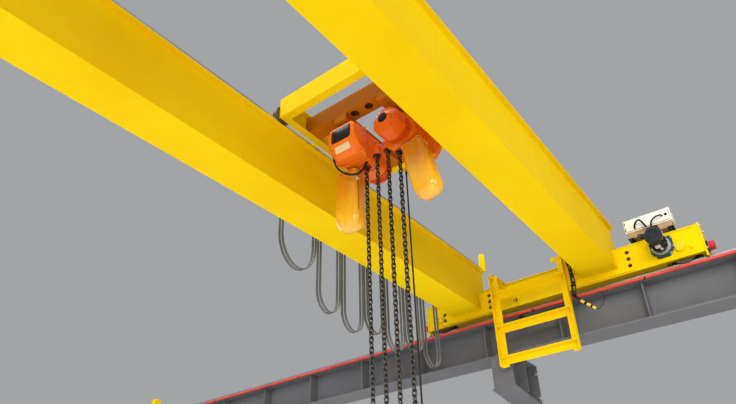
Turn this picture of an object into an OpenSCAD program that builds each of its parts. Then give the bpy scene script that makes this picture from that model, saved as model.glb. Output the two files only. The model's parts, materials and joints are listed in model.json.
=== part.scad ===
// Overhead bridge crane: two box girders on end trucks that run along a runway,
// with a low trolley that carries two chain hoists between the girders.
// X runs along the girders towards the far runway beam, Y along the runway, Z up.
// Heights are measured down from the top of the girders before the model is placed.

/* [Bridge] */
// Distance between the two runway rails
span = 10500; // [7500:100:16000]
// Distance between the centre planes of the two girders
girder_gauge = 1500; // [1400:20:1900]
// Height of a girder over both flanges
girder_depth = 530; // [480:10:700]
// Width of the top flange
top_flange_w = 380; // [360:10:440]
// Thickness of the top flange
top_flange_t = 12; // [8:1:20]
// Width of the bottom flange
bottom_flange_w = 340; // [320:10:400]
// Thickness of the bottom flange
bottom_flange_t = 10; // [8:1:20]
// Distance between the outer faces of the two webs
box_w = 300; // [280:10:320]
// Thickness of a web
web_t = 8; // [6:1:12]
// Number of stiffening diaphragms inside each girder
diaphragms = 7; // [3:1:11]

/* [End trucks] */
// Width of the truck box
truck_w = 180; // [160:10:240]
// Height of the truck box
truck_h = 285; // [270:5:340]
// Plate thickness of the truck
truck_plate = 10; // [8:1:16]
// Depth of the truck top below the top of the girders
truck_drop = 320; // [260:10:380]
// Reach of the truck to the left of the bridge centre line
truck_left = 1260; // [1200:10:1600]
// Reach of the truck to the right of the bridge centre line
truck_right = 1690; // [1600:10:2000]
// Distance from the left end of a truck to its wheel
wheel_inset_left = 165; // [160:5:260]
// Distance from the right end of a truck to its wheel
wheel_inset_right = 190; // [165:5:260]
// Tread diameter of a travel wheel
wheel_d = 250; // [220:5:270]
// Tread width of a travel wheel
wheel_tread = 64; // [60:2:76]
// Thickness of each wheel flange
wheel_flange_t = 14; // [10:1:18]
// Height of the wheel flanges above the tread
wheel_flange_h = 16; // [10:1:20]
// Diameter of the wheel axle
axle_d = 60; // [40:2:80]
// Gap between the rail top and the underside of a truck
truck_rail_gap = 20; // [12:2:40]
// Thickness of the guard plates that close the truck ends
end_plate_t = 16; // [10:1:20]
// Length of a buffer with its foot
buffer_l = 70; // [50:5:110]
// Diameter of a buffer
buffer_d = 90; // [60:5:110]

/* [Girder joints] */
// Width of the bolted plate at each end of a girder
joint_plate_w = 640; // [600:10:700]
// Thickness of the bolted plate
joint_plate_t = 14; // [10:1:20]
// Height of the bolted plate
joint_plate_h = 250; // [230:5:265]
// Distance between the bolt holes in a column
joint_hole_pitch = 70; // [50:5:80]
// Diameter of the bolt holes
joint_hole_d = 26; // [18:1:30]
// Distance from the side of the plate to its bolt holes
joint_hole_edge = 34; // [26:1:45]

/* [Runway] */
// Depth of a runway beam
beam_depth = 390; // [340:10:500]
// Width of the flanges of a runway beam
beam_flange_w = 300; // [200:10:320]
// Thickness of the flanges of a runway beam
beam_flange_t = 16; // [10:1:24]
// Thickness of the web of a runway beam
beam_web_t = 10; // [8:1:16]
// Reach of the runway past its last corbel
runway_over = 1200; // [600:50:2000]
// Reach of the runway to the right of the bridge centre line
runway_right = 2600; // [2500:100:6000]
// Spacing of the web stiffeners
stiffener_pitch = 830; // [600:10:1200]
// Position of the first web stiffener along the runway
first_stiffener = -1925; // [-2400:5:-1700]
// Height of the runway rail
rail_h = 93; // [80:1:120]
// Width of the rail head
rail_head_w = 51; // [44:1:54]
// Width of the rail foot
rail_foot_w = 93; // [80:1:120]
// Position of the first corbel along the runway
corbel_y = 400; // [0:50:600]
// Distance from one corbel to the next
corbel_pitch = 5000; // [4000:100:5050]
// Width of a corbel
corbel_w = 260; // [200:10:320]
// Depth of a corbel at the column
corbel_depth = 430; // [340:10:560]
// Depth of a corbel at its tip
corbel_tip = 340; // [240:10:400]
// Distance from the rail to the face of the column
column_gap = 420; // [340:10:600]
// Width of the upright flange at the tip of a corbel
corbel_flange_w = 225; // [160:5:260]
// Plate thickness of the corbels
corbel_plate = 14; // [10:1:20]
// Height of the wheel stops at the ends of the runway
stop_h = 260; // [240:10:320]

/* [Conductor bar] */
// Height of the conductor housing
bar_h = 56; // [40:2:70]
// Width of the conductor housing
bar_w = 40; // [30:2:60]
// Gap between the housing and the flange of the runway beam
bar_gap = 36; // [20:2:60]
// Spacing of the hangers that carry the housing
bar_hanger_pitch = 1250; // [800:50:1500]
// Distance from the right end of the runway to the first hanger
hanger_first = 240; // [160:20:400]
// Least distance from the last hanger to the left end of the runway
hanger_last = 200; // [160:20:400]

/* [Collector frame] */
// Distance between the outer sides of the two uprights
frame_w = 800; // [600:10:900]
// Shift of the frame from the bridge centre line
frame_shift = -70; // [-200:10:100]
// Height of the uprights
frame_h = 990; // [980:10:1100]
// Distance from the face of the truck to the frame
frame_reach = 200; // [180:5:230]
// Drop of the upper cross bar below the top of the uprights
cross_upper = 205; // [150:5:260]
// Drop of the cross bar that carries the collector below the top of the uprights
cross_shoe = 570; // [540:5:600]
// Height of the lowest cross bar above the foot of the uprights
cross_foot = 95; // [75:5:160]
// Leg width of the angle bars
angle_w = 70; // [40:5:80]
// Thickness of the angle bars
angle_t = 6; // [4:1:8]

/* [Cabinet and drive] */
// Width of the control cabinet along the truck
cabinet_w = 440; // [360:10:500]
// Height of the control cabinet
cabinet_h = 200; // [160:10:300]
// Depth of the control cabinet
cabinet_d = 170; // [140:10:180]
// Distance from the right girder's centre line to the middle of the cabinet
cabinet_out = 540; // [500:10:600]
// Height of the legs under the cabinet
cabinet_leg = 66; // [40:2:100]
// Diameter of the travel motor
motor_d = 165; // [140:5:200]
// Length of the travel motor
motor_l = 270; // [200:10:340]
// Diameter of the flange between gearbox and motor
drive_flange_d = 230; // [200:5:240]
// Thickness of the gearbox casing
gearbox_t = 46; // [30:2:80]

/* [Trolley] */
// Distance between the two trolley rails
trolley_gauge = 1200; // [1180:10:1260]
// Width and height of the trolley rails
trolley_rail = 40; // [30:2:50]
// Length of the trolley frame
trolley_l = 1150; // [1000:10:1400]
// Distance from the far truck to the rear face of the trolley
trolley_x = 2000; // [1900:20:2600]
// Width of the trolley frame
trolley_w = 1120; // [1080:10:1140]
// Height of the trolley end beams
trolley_beam_h = 185; // [150:5:220]
// Flange width of the trolley beams
trolley_flange = 68; // [50:2:80]
// Plate thickness of the trolley beams
trolley_plate = 9; // [6:1:12]
// Gap between the rail top and the underside of the trolley frame
trolley_gap = 6; // [5:1:20]
// Tread diameter of a trolley wheel
trolley_wheel_d = 130; // [110:5:150]
// Distance from the face of the frame to the axle of a trolley wheel
trolley_wheel_inset = 50; // [40:5:160]
// Width of a load beam
load_beam_w = 125; // [100:5:160]
// Distance from the front face of the frame to the load beam
load_beam_inset = 280; // [240:10:340]
// Distance from the rear face of the frame to the rear load beam
load_beam_rear = 250; // [220:10:300]
// Depth of a load beam
load_beam_h = 150; // [120:5:180]
// Middle of the pair of round holes in a load beam
load_hole_y = 14; // [-40:2:40]
// Distance between the two round holes
load_hole_gap = 136; // [100:2:200]
// Diameter of the round holes in the load beams
load_hole_d = 70; // [40:5:80]

/* [Hoists] */
// Length of a hoist over motor and control box
hoist_l = 710; // [660:10:800]
// Distance from the front face of the trolley frame to the hoists
hoist_inset = 305; // [290:5:330]
// Height of the hoist axis below the top of the girders
hoist_z = 205; // [200:5:260]
// Distance of each hoist from the middle of the pair
hoist_offset = 203; // [195:2:220]
// Shift of the pair of hoists from the bridge centre line
hoist_shift = -22; // [-40:2:40]
// Width of the hoist casing
casing_w = 256; // [250:2:260]
// Height of the hoist casing
casing_h = 290; // [280:5:320]
// Rise of the casing above the hoist axis
casing_rise = 30; // [0:5:40]
// Length of the gear casing
casing_l = 260; // [240:5:280]
// Length of the motor that faces forward on the right hoist
fan_end_l = 170; // [150:5:175]
// Width of the control box
control_w = 258; // [230:2:280]
// Height of the control box
control_h = 360; // [320:5:380]
// Length of the control box
control_l = 150; // [120:5:180]
// Height of the sloping lower part of the control box lid
lid_slope_h = 160; // [100:5:200]
// Depth of the sloping part of the lid
lid_slope_d = 92; // [40:2:110]
// Diameter of the hoist motor
hoist_motor_d = 240; // [200:5:260]
// Distance from the middle of the casing to the line of the chain falls
fall_side = 100; // [90:2:110]
// Distance between the two falls of a hoist
fall_gap = 104; // [100:1:112]
// Distance of the falls from the front of the hoists
fall_x = 235; // [225:5:245]
// Diameter of the chain wire
chain_wire = 11.2; // [9:0.1:12]
// Pitch of the chain links
chain_pitch = 34; // [32:0.5:38]
// Number of links in each fall
chain_links = 62; // [40:1:90]
// Height of a chain bucket
bucket_h = 500; // [400:10:600]
// Width of a chain bucket across the hoist
bucket_w = 190; // [160:5:220]
// Depth of a chain bucket along the hoist
bucket_d = 150; // [130:5:160]
// Narrowing of a chain bucket towards its mouth
bucket_taper = 22; // [0:1:30]
// Radius of the round bottom of a chain bucket
bucket_round = 70; // [50:1:72]
// Angle of the right chain bucket as it hangs
bucket_lean = 12; // [0:1:14]
// Wall of a chain bucket
bucket_wall = 4; // [3:1:6]

/* [Festoon] */
// Number of cable carriers
carriers = 6; // [3:1:8]
// Distance of the festoon track from the side of the girder
track_reach = 110; // [90:5:160]
// Distance of the fixed cable end from the far truck
festoon_end = 170; // [150:5:240]
// Width of the cable loop beside the tow arm
first_loop = 475; // [380:5:500]
// Depth of the cable loops
loop_depth = 950; // [700:10:1100]
// Width of a flat cable
flat_cable_w = 24; // [16:1:25]
// Thickness of a flat cable
flat_cable_t = 8; // [5:1:12]
// Depth of the track below the top of the girders
track_drop = 120; // [80:5:200]

/* [Pendant] */
// Length of the pendant cable below the trolley
pendant_drop = 2300; // [1500:50:3000]
// Height of the pendant station
pendant_h = 330; // [240:10:400]

/* [Hidden] */
$fn = 48;

// Seat clearance between pieces that are set beside each other
seat = 0.3;
// Working clearance between pieces that move past each other
run = 6;

rail_x = truck_w / 2;
runway_left = corbel_y + corbel_pitch + runway_over;
mid_x = rail_x - span / 2;
near_face = 2 * mid_x;
girder_y = girder_gauge / 2;
truck_top = -truck_drop;
truck_bottom = truck_top - truck_h;
rail_top = truck_bottom - truck_rail_gap;
beam_top = rail_top - rail_h;
beam_bottom = beam_top - beam_depth;
axle_z = rail_top + wheel_d / 2 + seat;
wheel_y_left = truck_left - wheel_inset_left;
wheel_y_right = -truck_right + wheel_inset_right;
wheel_w = wheel_tread + 2 * wheel_flange_t;
wheel_slot_w = wheel_w + 2 * run;
wheel_slot_l = wheel_d + 66;
keeper_d = axle_d + 34;
keeper_t = 10;
column_x = rail_x + column_gap;
corbel_mid = beam_bottom - corbel_depth / 2;

trolley_rail_y = trolley_gauge / 2;
frame_bottom = trolley_rail + trolley_gap;
frame_top = frame_bottom + trolley_beam_h;
trolley_rear = -trolley_x;
trolley_front = trolley_rear - trolley_l;
side_y = trolley_w / 2;
side_w = 60;
bearing_d = 70;
trolley_axle_d = 30;
trolley_axle_z = trolley_rail + trolley_wheel_d / 2 + seat;
wheel_front_x = trolley_front + trolley_wheel_inset;
wheel_rear_x = trolley_rear - trolley_wheel_inset;
load_front_x = trolley_front + load_beam_inset;
load_rear_x = trolley_rear - load_beam_rear;
load_bottom = frame_bottom + trolley_plate + seat;

hoist_front = trolley_front + hoist_inset;
hoist_left_y = hoist_shift + hoist_offset;
hoist_right_y = hoist_shift - hoist_offset;
chain_x = hoist_front + fall_x;
casing_mid = casing_rise - hoist_z;
casing_bottom = casing_mid - casing_h / 2;
casing_top = casing_mid + casing_h / 2;
guide_h = 12;
guide_bottom = casing_bottom - guide_h;
guide_mouth = 26;
guide_bore_d = 46;
inner_rise_links = 2;
inner_rise = inner_rise_links * chain_pitch;
link_inner = chain_pitch + seat;
link_bend = chain_wire * 1.14;
link_straight = link_inner / 2 - (link_bend - chain_wire / 2);
first_link_z = guide_bottom + guide_mouth - seat - link_inner / 2 - chain_wire;
last_link_z = first_link_z - (chain_links - 1) * chain_pitch;
block_floor = last_link_z - link_inner / 2 - chain_wire - seat;
block_top = block_floor + 30;
fall_mid_left = hoist_left_y - fall_side;
fall_mid_right = hoist_right_y + fall_side;
outer_falls = [fall_mid_left + fall_gap / 2, fall_mid_right - fall_gap / 2];
inner_falls = [fall_mid_left - fall_gap / 2, fall_mid_right + fall_gap / 2];
bucket_top = casing_bottom - 14;
bucket_x = chain_x - 4;
bucket_out = 295;
bucket_pin = 10;
bucket_lip = 20;
bucket_pin_z = bucket_top - bucket_lip;

track_y = girder_y + top_flange_w / 2 + track_reach;
track_z = -track_drop;
track_h = 36;
track_w = 40;
track_wall = 3;
track_slot = 12;
roller_d = 22;
roller_pitch = 56;
saddle_d = 60;
saddle_w = 60;
saddle_drop = 80;
tow_x = (trolley_front + trolley_rear) / 2 - 60;
loop_w = (-festoon_end - tow_x - first_loop) / carriers;
carrier_x = [for (i = [0 : carriers - 1]) tow_x + first_loop + i * loop_w];
saddle_z = track_z - saddle_drop;
stem_t = 6;
cable_side = stem_t / 2 + 2 + flat_cable_w / 2;
carrier_w = 90;

frame_x = -frame_reach;
upright_top = truck_top + 20;
cross_drops = [cross_upper, cross_shoe, frame_h - cross_foot];
frame_left = frame_shift + frame_w / 2;
frame_right = frame_shift - frame_w / 2;
bar_x = rail_x - beam_flange_w / 2 - bar_gap - bar_w / 2;
bar_z = beam_top - 40;

module in_place() {
    translate([-column_x, -corbel_y, -corbel_mid]) children();
}

module at_near_end() {
    translate([near_face, 0, 0]) mirror([1, 0, 0]) children();
}

module both_ends() {
    children();
    at_near_end() children();
}

module block(low, high) {
    translate(low) cube(high - low);
}

module bar_x_axis(d, x0, x1, y, z) {
    translate([x0, y, z]) rotate([0, 90, 0]) cylinder(d = d, h = x1 - x0);
}

module bar_y_axis(d, y0, y1, x, z) {
    translate([x, y0, z]) rotate([-90, 0, 0]) cylinder(d = d, h = y1 - y0);
}

// Runway

module runway_beam() {
    z1 = beam_top;
    z0 = beam_bottom;
    half = beam_flange_w / 2;
    block([rail_x - half, -runway_right, z1 - beam_flange_t], [rail_x + half, runway_left, z1]);
    block([rail_x - half, -runway_right, z0], [rail_x + half, runway_left, z0 + beam_flange_t]);
    block([rail_x - beam_web_t / 2, -runway_right, z0], [rail_x + beam_web_t / 2, runway_left, z1]);
    for (y = [first_stiffener : stiffener_pitch : runway_left - 100])
        block([rail_x - half + 12, y - 5, z0 + 1], [rail_x + half - 12, y + 5, z1 - 1]);
}

module rail_profile() {
    head_t = rail_h * 0.28;
    foot_t = rail_h * 0.2;
    neck = rail_head_w * 0.24;
    polygon([[-rail_foot_w / 2, 0], [rail_foot_w / 2, 0], [rail_foot_w / 2, foot_t * 0.5],
        [neck / 2, foot_t], [neck / 2, rail_h - head_t - 4], [rail_head_w / 2, rail_h - head_t],
        [rail_head_w / 2, rail_h - 5], [rail_head_w / 2 - 5, rail_h],
        [5 - rail_head_w / 2, rail_h], [-rail_head_w / 2, rail_h - 5],
        [-rail_head_w / 2, rail_h - head_t], [-neck / 2, rail_h - head_t - 4],
        [-neck / 2, foot_t], [-rail_foot_w / 2, foot_t * 0.5]]);
}

module runway_rail() {
    translate([rail_x, runway_left, beam_top]) rotate([90, 0, 0])
        linear_extrude(height = runway_left + runway_right) rail_profile();
}

module corbel(y) {
    tip_x = rail_x - beam_flange_w / 2 - 20;
    translate([0, y, 0]) difference() {
        union() {
            block([tip_x, -corbel_w / 2, beam_bottom - corbel_plate], [column_x, corbel_w / 2, beam_bottom]);
            block([column_x - corbel_plate, -corbel_w / 2, beam_bottom - corbel_depth],
                [column_x, corbel_w / 2, beam_bottom]);
            translate([0, corbel_plate / 2, 0]) rotate([90, 0, 0])
                linear_extrude(height = corbel_plate) polygon([
                    [tip_x, beam_bottom - 1], [column_x - 1, beam_bottom - 1],
                    [column_x - 1, beam_bottom - corbel_depth], [tip_x, beam_bottom - corbel_tip]]);
            for (x = [tip_x, rail_x + beam_flange_w / 2])
                block([x, -corbel_flange_w / 2, beam_bottom - corbel_tip + 2],
                    [x + corbel_plate, corbel_flange_w / 2, beam_bottom - 1]);
            rotate([90, 0, 0]) translate([0, 0, -corbel_w / 2]) linear_extrude(height = corbel_w)
                polygon([[tip_x, beam_bottom - corbel_tip],
                    [column_x, beam_bottom - corbel_depth],
                    [column_x, beam_bottom - corbel_depth + corbel_plate],
                    [tip_x, beam_bottom - corbel_tip + corbel_plate]]);
        }
        for (side = [-1, 1], row = [-1, 1])
            bar_x_axis(26, column_x - corbel_plate - 1, column_x + 1, side * (corbel_w / 2 - 18),
                corbel_mid + row * corbel_depth * 0.3);
    }
}

module corbels() {
    for (i = [0, 1]) corbel(corbel_y + i * corbel_pitch);
}

module end_stop(y, out) {
    post = 90;
    translate([rail_x, y, 0]) mirror([0, out < 0 ? 1 : 0, 0]) {
        difference() {
            block([-post / 2, 0, rail_top + seat], [post / 2, post, rail_top + stop_h]);
            block([-post / 2 + 12, 12, rail_top], [post / 2 - 12, post - 12, rail_top + stop_h - 12]);
        }
        for (side = [-1, 1])
            block([side > 0 ? rail_foot_w / 2 + 4 : -post / 2 - 26, 0, beam_top],
                [side > 0 ? post / 2 + 26 : -rail_foot_w / 2 - 4, post, beam_top + 12]);
        for (side = [-1, 1])
            block([side > 0 ? post / 2 - 1 : -post / 2 - 9, 0, beam_top + 11],
                [side > 0 ? post / 2 + 9 : -post / 2 + 1, post, rail_top + stop_h - 30]);
    }
}

module runway_stops() {
    end_stop(runway_left - 110, 1);
    end_stop(-runway_right + 110, -1);
}

// Conductor bar along the far beam

module conductor_housing() {
    lip = 5;
    translate([bar_x, runway_left - 60, bar_z]) rotate([90, 0, 0])
        linear_extrude(height = runway_left + runway_right - 120) difference() {
            intersection() {
                square([bar_w, bar_h], center = true);
                circle(d = bar_h * 1.16);
            }
            translate([-bar_w / 2 + lip, -bar_h / 2 - 1]) square([bar_w - 2 * lip, bar_h - lip + 1]);
        }
}

module conductor_hanger_row() {
    arm_t = 5;
    edge = rail_x - beam_flange_w / 2;
    for (y = [-runway_right + hanger_first : bar_hanger_pitch : runway_left - hanger_last]) {
        block([bar_x - bar_w / 2, y - 18, bar_z + bar_h / 2], [edge, y + 18, bar_z + bar_h / 2 + arm_t]);
        block([edge - arm_t, y - 18, bar_z + bar_h / 2], [edge, y + 18, beam_top + 8]);
        block([edge - arm_t, y - 18, beam_top], [edge + 40, y + 18, beam_top + 8]);
    }
}

// Bridge

module girder() {
    top = -top_flange_t;
    low = -girder_depth;
    over = truck_w - 10;
    web_y = box_w / 2;
    x0 = near_face;
    union() {
        block([x0 - over, -top_flange_w / 2, top], [over, top_flange_w / 2, 0]);
        block([x0, -bottom_flange_w / 2, low], [0, bottom_flange_w / 2, low + bottom_flange_t]);
        for (side = [-1, 1])
            block([x0, side > 0 ? web_y - web_t : -web_y, low + 1],
                [0, side > 0 ? web_y : -web_y + web_t, top + 1]);
        both_ends() {
            for (side = [-1, 1])
                block([-1, side > 0 ? web_y - web_t : -web_y, truck_top],
                    [over, side > 0 ? web_y : -web_y + web_t, top + 1]);
            block([-1, -bottom_flange_w / 2, truck_top],
                [over, bottom_flange_w / 2, truck_top + bottom_flange_t]);
            block([over - 8, -web_y, truck_top], [over, web_y, top + 1]);
            block([-8, -web_y, low + 1], [0, web_y, truck_top + bottom_flange_t]);
        }
        for (i = [1 : diaphragms])
            block([x0 * i / (diaphragms + 1) - 4, -web_y + 1, low + 60],
                [x0 * i / (diaphragms + 1) + 4, web_y - 1, top + 1]);
    }
}

module girder_at(side) {
    translate([0, side * girder_y, 0]) girder();
}

module truck_box() {
    p = truck_plate;
    y0 = -truck_right;
    y1 = truck_left;
    difference() {
        block([0, y0, truck_bottom], [truck_w, y1, truck_top]);
        block([p, y0 - 1, truck_bottom + p], [truck_w - p, y1 + 1, truck_top - p]);
        for (y = [wheel_y_left, wheel_y_right]) {
            block([rail_x - wheel_slot_w / 2, y - wheel_slot_l / 2, truck_bottom - 1],
                [rail_x + wheel_slot_w / 2, y + wheel_slot_l / 2, truck_bottom + p + 1]);
            bar_x_axis(axle_d + 2 * seat, -1, truck_w + 1, y, axle_z);
        }
    }
    for (end = [0, 1])
        difference() {
            block([-6, end > 0 ? y1 : y0 - end_plate_t, truck_bottom - 48],
                [truck_w + 6, end > 0 ? y1 + end_plate_t : y0, truck_top + 8]);
            block([rail_x - rail_head_w / 2 - 20, y0 - 40, truck_bottom - 60],
                [rail_x + rail_head_w / 2 + 20, y1 + 40, rail_top + 12]);
        }
}

module axle_keeper(y) {
    for (side = [0, 1])
        difference() {
            bar_x_axis(keeper_d,
                side > 0 ? truck_w : -keeper_t, side > 0 ? truck_w + keeper_t : 0, y, axle_z);
            bar_x_axis(axle_d + 2 * seat, -2 * keeper_t, truck_w + 2 * keeper_t, y, axle_z);
        }
}

module end_truck() {
    truck_box();
    for (y = [wheel_y_left, wheel_y_right]) axle_keeper(y);
}

module joint_plate(y) {
    low = truck_bottom + 12;
    high = low + joint_plate_h;
    half = joint_plate_w / 2;
    mid = (low + high) / 2;
    difference() {
        block([-joint_plate_t, y - half, low], [0, y + half, high]);
        block([-joint_plate_t - 1, y - bottom_flange_w / 2 - seat, -girder_depth - seat],
            [1, y + bottom_flange_w / 2 + seat, high + 1]);
        for (side = [-1, 1], row = [-1, 0, 1])
            bar_x_axis(joint_hole_d, -joint_plate_t - 1, 1, y + side * (half - joint_hole_edge),
                mid + row * joint_hole_pitch);
        for (wheel_y = [wheel_y_left, wheel_y_right])
            bar_x_axis(keeper_d + 2 * run, -joint_plate_t - 1, 1, wheel_y, axle_z);
    }
}

module joint_plate_set() {
    for (y = [girder_y, -girder_y]) joint_plate(y);
}

module buffer(y, out) {
    z = axle_z - 30;
    foot = 12;
    translate([rail_x, y, z]) rotate([out > 0 ? -90 : 90, 0, 0]) {
        cylinder(d = buffer_d + 20, h = foot);
        translate([0, 0, foot]) cylinder(d1 = buffer_d, d2 = buffer_d - 8, h = buffer_l - foot, $fn = 64);
    }
}

module buffers() {
    buffer(truck_left + end_plate_t, 1);
    buffer(-truck_right - end_plate_t, -1);
}

module trolley_rail_bar(side) {
    half = trolley_rail / 2;
    over = truck_w - 30;
    block([near_face - over, side * trolley_rail_y - half, 0],
        [over, side * trolley_rail_y + half, trolley_rail]);
}

module rail_stop(side) {
    stop_x = truck_w - 28;
    w = 74;
    t = 14;
    rise = 232;
    translate([stop_x + 1, side * (trolley_rail_y - 24), 0]) {
        block([0, -w / 2, 0], [t, w / 2, rise - w / 2]);
        translate([0, 0, rise - w / 2]) rotate([0, 90, 0]) cylinder(d = w, h = t);
    }
}

module rail_stops() {
    for (side = [-1, 1]) rail_stop(side);
}

drive_y = wheel_y_right + 150;
drive_z = truck_top - 135;
drive_flange_t = 18;

// Gearbox plate with cut lower corners and the round flange of the motor
module travel_gearbox() {
    half = 95;
    high = 90;
    cut = 46;
    translate([-gearbox_t, drive_y, drive_z]) rotate([90, 0, 90]) linear_extrude(height = gearbox_t)
        polygon([[-half, high], [-half, cut - high], [cut - half, -high], [half - cut, -high],
            [half, cut - high], [half, high]]);
    bar_x_axis(drive_flange_d, -gearbox_t - drive_flange_t, -gearbox_t + 1, drive_y, drive_z);
}

// Travel motor: finned body, fan cover at its far end and terminal box on top
module travel_motor() {
    x1 = -gearbox_t - drive_flange_t;
    x0 = x1 - motor_l;
    cover = 70;
    fin = 5;
    box_w = 100;
    box_l = 120;
    box_h = 46;
    bar_x_axis(motor_d - 14, x0 + cover - 10, x1, drive_y, drive_z);
    for (x = [x0 + cover + 12 : 14 : x1 - 12]) bar_x_axis(motor_d, x, x + fin, drive_y, drive_z);
    bar_x_axis(motor_d + 10, x0 + 14, x0 + cover, drive_y, drive_z);
    translate([x0, drive_y, drive_z]) rotate([0, 90, 0])
        cylinder(d1 = motor_d - 20, d2 = motor_d + 10, h = 14);
    block([x0 + 90, drive_y - box_w / 2, drive_z + motor_d / 2 - 20],
        [x0 + 90 + box_l, drive_y + box_w / 2, drive_z + motor_d / 2 + box_h]);
}

cabinet_y = -girder_y - cabinet_out;

module cabinet() {
    z0 = truck_top + cabinet_leg;
    x0 = rail_x - cabinet_d / 2;
    block([x0, cabinet_y - cabinet_w / 2, z0], [x0 + cabinet_d, cabinet_y + cabinet_w / 2, z0 + cabinet_h]);
    block([x0 - 4, cabinet_y - cabinet_w / 2 + 16, z0 + 16],
        [x0 + 1, cabinet_y + cabinet_w / 2 - 16, z0 + cabinet_h - 16]);
}

module cabinet_leg_set() {
    x0 = rail_x - cabinet_d / 2;
    for (side = [-1, 1]) {
        y = cabinet_y + side * (cabinet_w / 2 - 34);
        block([x0, y - 25, truck_top], [x0 + cabinet_d, y + 25, truck_top + 6]);
        block([x0, y - 4, truck_top + 5], [x0 + cabinet_d, y + 4, truck_top + cabinet_leg - 5]);
        block([x0, y - 25, truck_top + cabinet_leg - 6], [x0 + cabinet_d, y + 25, truck_top + cabinet_leg]);
    }
}

// Angle bar profile with its corner at the origin
module angle_section() {
    square([angle_w, angle_t]);
    square([angle_t, angle_w]);
}

// Upright with one leg in the plane of the frame and one leg towards the bridge
module angle_upright(y, inward) {
    translate([frame_x, y, upright_top - frame_h]) mirror([1, 0, 0]) mirror([0, inward < 0 ? 1 : 0, 0])
        linear_extrude(height = frame_h) angle_section();
}

// Cross bar with its top at a height between the uprights
module angle_cross(z) {
    translate([frame_x, frame_left - angle_t, z]) rotate([90, 0, 0]) mirror([1, 0, 0]) mirror([0, 1, 0])
        linear_extrude(height = frame_w - 2 * angle_t) angle_section();
}

// Arm that lies on the truck and carries an upright
module angle_arm(y, inward) {
    over = angle_t + 4;
    translate([frame_x - over, y, truck_top]) rotate([90, 0, 90]) mirror([inward < 0 ? 1 : 0, 0, 0])
        linear_extrude(height = frame_reach + over + truck_w - 20) angle_section();
}

module collector_frame_bars() {
    angle_upright(frame_left, -1);
    angle_upright(frame_right, 1);
    for (drop = cross_drops) angle_cross(upright_top - drop);
    angle_arm(frame_left - angle_t, -1);
    angle_arm(frame_right + angle_t, 1);
}

// Collector: a foot on the middle cross bar, an arm, and the shoe in the slot of the conductor bar
module collector() {
    y = 60;
    foot = 12;
    half_foot = 20;
    arm_low = bar_z - 76;
    shoe_low = bar_z - 50;
    block([frame_x - foot, y - half_foot, upright_top - cross_drops[1]], [frame_x, y + half_foot, shoe_low]);
    block([frame_x - 1, y - 15, arm_low], [bar_x + 8, y + 15, arm_low + foot]);
    block([bar_x - 8, y - 60, arm_low], [bar_x + 8, y + 60, shoe_low]);
    block([bar_x - 5, y - 50, shoe_low - 1], [bar_x + 5, y + 50, bar_z + 8]);
}

// Festoon

// Slotted rail that the carriers run inside
module track_rail() {
    half = track_w / 2;
    t = track_wall;
    translate([near_face + 60, track_y, track_z]) rotate([90, 0, 90])
        linear_extrude(height = -near_face - 60 - festoon_end - saddle_d / 2) difference() {
            translate([-half, 0]) square([track_w, track_h]);
            translate([-half + t, t]) square([track_w - 2 * t, track_h - 2 * t]);
            translate([-track_slot / 2, -1]) square([track_slot, t + 2]);
        }
}

// Bracket from the girder's web to the top of the track
module track_bracket(x) {
    y0 = girder_y + box_w / 2;
    half = 20;
    plate = 8;
    block([x - half, y0, track_z + track_h], [x + half, track_y + half - 5, track_z + track_h + plate]);
    block([x - half, y0, track_z + track_h - 50], [x + half, y0 + plate, track_z + track_h + 1]);
}

// The last bracket reaches past the track and holds the saddle of the fixed cable end
module track_brackets() {
    first = -festoon_end - 70;
    spans = 8;
    for (i = [0 : spans]) track_bracket(first + i * (near_face - 2 * first) / spans);
    block([first, track_y - stem_t / 2, track_z + track_h], [-festoon_end + 6, track_y + stem_t / 2,
        track_z + track_h + 8]);
    block([-festoon_end - 6, track_y - stem_t / 2, saddle_z], [-festoon_end + 6, track_y + stem_t / 2,
        track_z + track_h + 1]);
    bar_y_axis(saddle_d, track_y - saddle_w / 2, track_y + saddle_w / 2, -festoon_end, saddle_z);
}

module carrier(i) {
    roller_z = track_z + track_wall + seat + roller_d / 2;
    roller_y = track_w / 2 - track_wall - 1;
    stem = stem_t / 2;
    translate([carrier_x[i], track_y, 0]) {
        for (x = [-roller_pitch / 2, roller_pitch / 2]) {
            bar_y_axis(8, -roller_y, roller_y, x, roller_z);
            for (side = [-1, 1])
                bar_y_axis(roller_d,
                    side > 0 ? stem + 2 : -roller_y, side > 0 ? roller_y : -stem - 2, x, roller_z);
        }
        block([-carrier_w / 2, -stem, track_z - 20], [carrier_w / 2, stem, roller_z + 6]);
        block([-stem * 4, -stem, saddle_z], [stem * 4, stem, track_z - 19]);
        bar_y_axis(saddle_d, -saddle_w / 2, saddle_w / 2, 0, saddle_z);
    }
}

// Half of a cable loop in the plane of the track, from the top of a saddle to the lowest point
function half_loop(w, depth) = let (
        step = 45,
        r = (saddle_d / 2 + seat) / cos(step / 2) + flat_cable_t / 2,
        bend = w / 2 - r,
        drop = depth - bend)
    concat(
        [for (a = [0 : step : 90]) [r * sin(a), r * cos(a)]],
        [for (a = [0 : step : 90]) [r + bend - bend * cos(a), -drop - bend * sin(a)]]);

function loop_line(w, depth) = let (half = half_loop(w, depth))
    concat(half, [for (i = [len(half) - 2 : -1 : 1]) [w - half[i][0], half[i][1]]]);

// Middle line of a flat cable over all its saddles, as places along the track and heights
function festoon_line() = let (first_share = 0.64, even_share = 0.92)
    concat(
        [for (p = loop_line(first_loop, loop_depth * first_share)) p + [tow_x, 0]],
        [for (i = [0 : carriers - 1], p = loop_line(loop_w, loop_depth * (i % 2 == 0 ? even_share : 1)))
            p + [carrier_x[i], 0]],
        [half_loop(loop_w, loop_depth)[0] - [festoon_end, 0]]);

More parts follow.
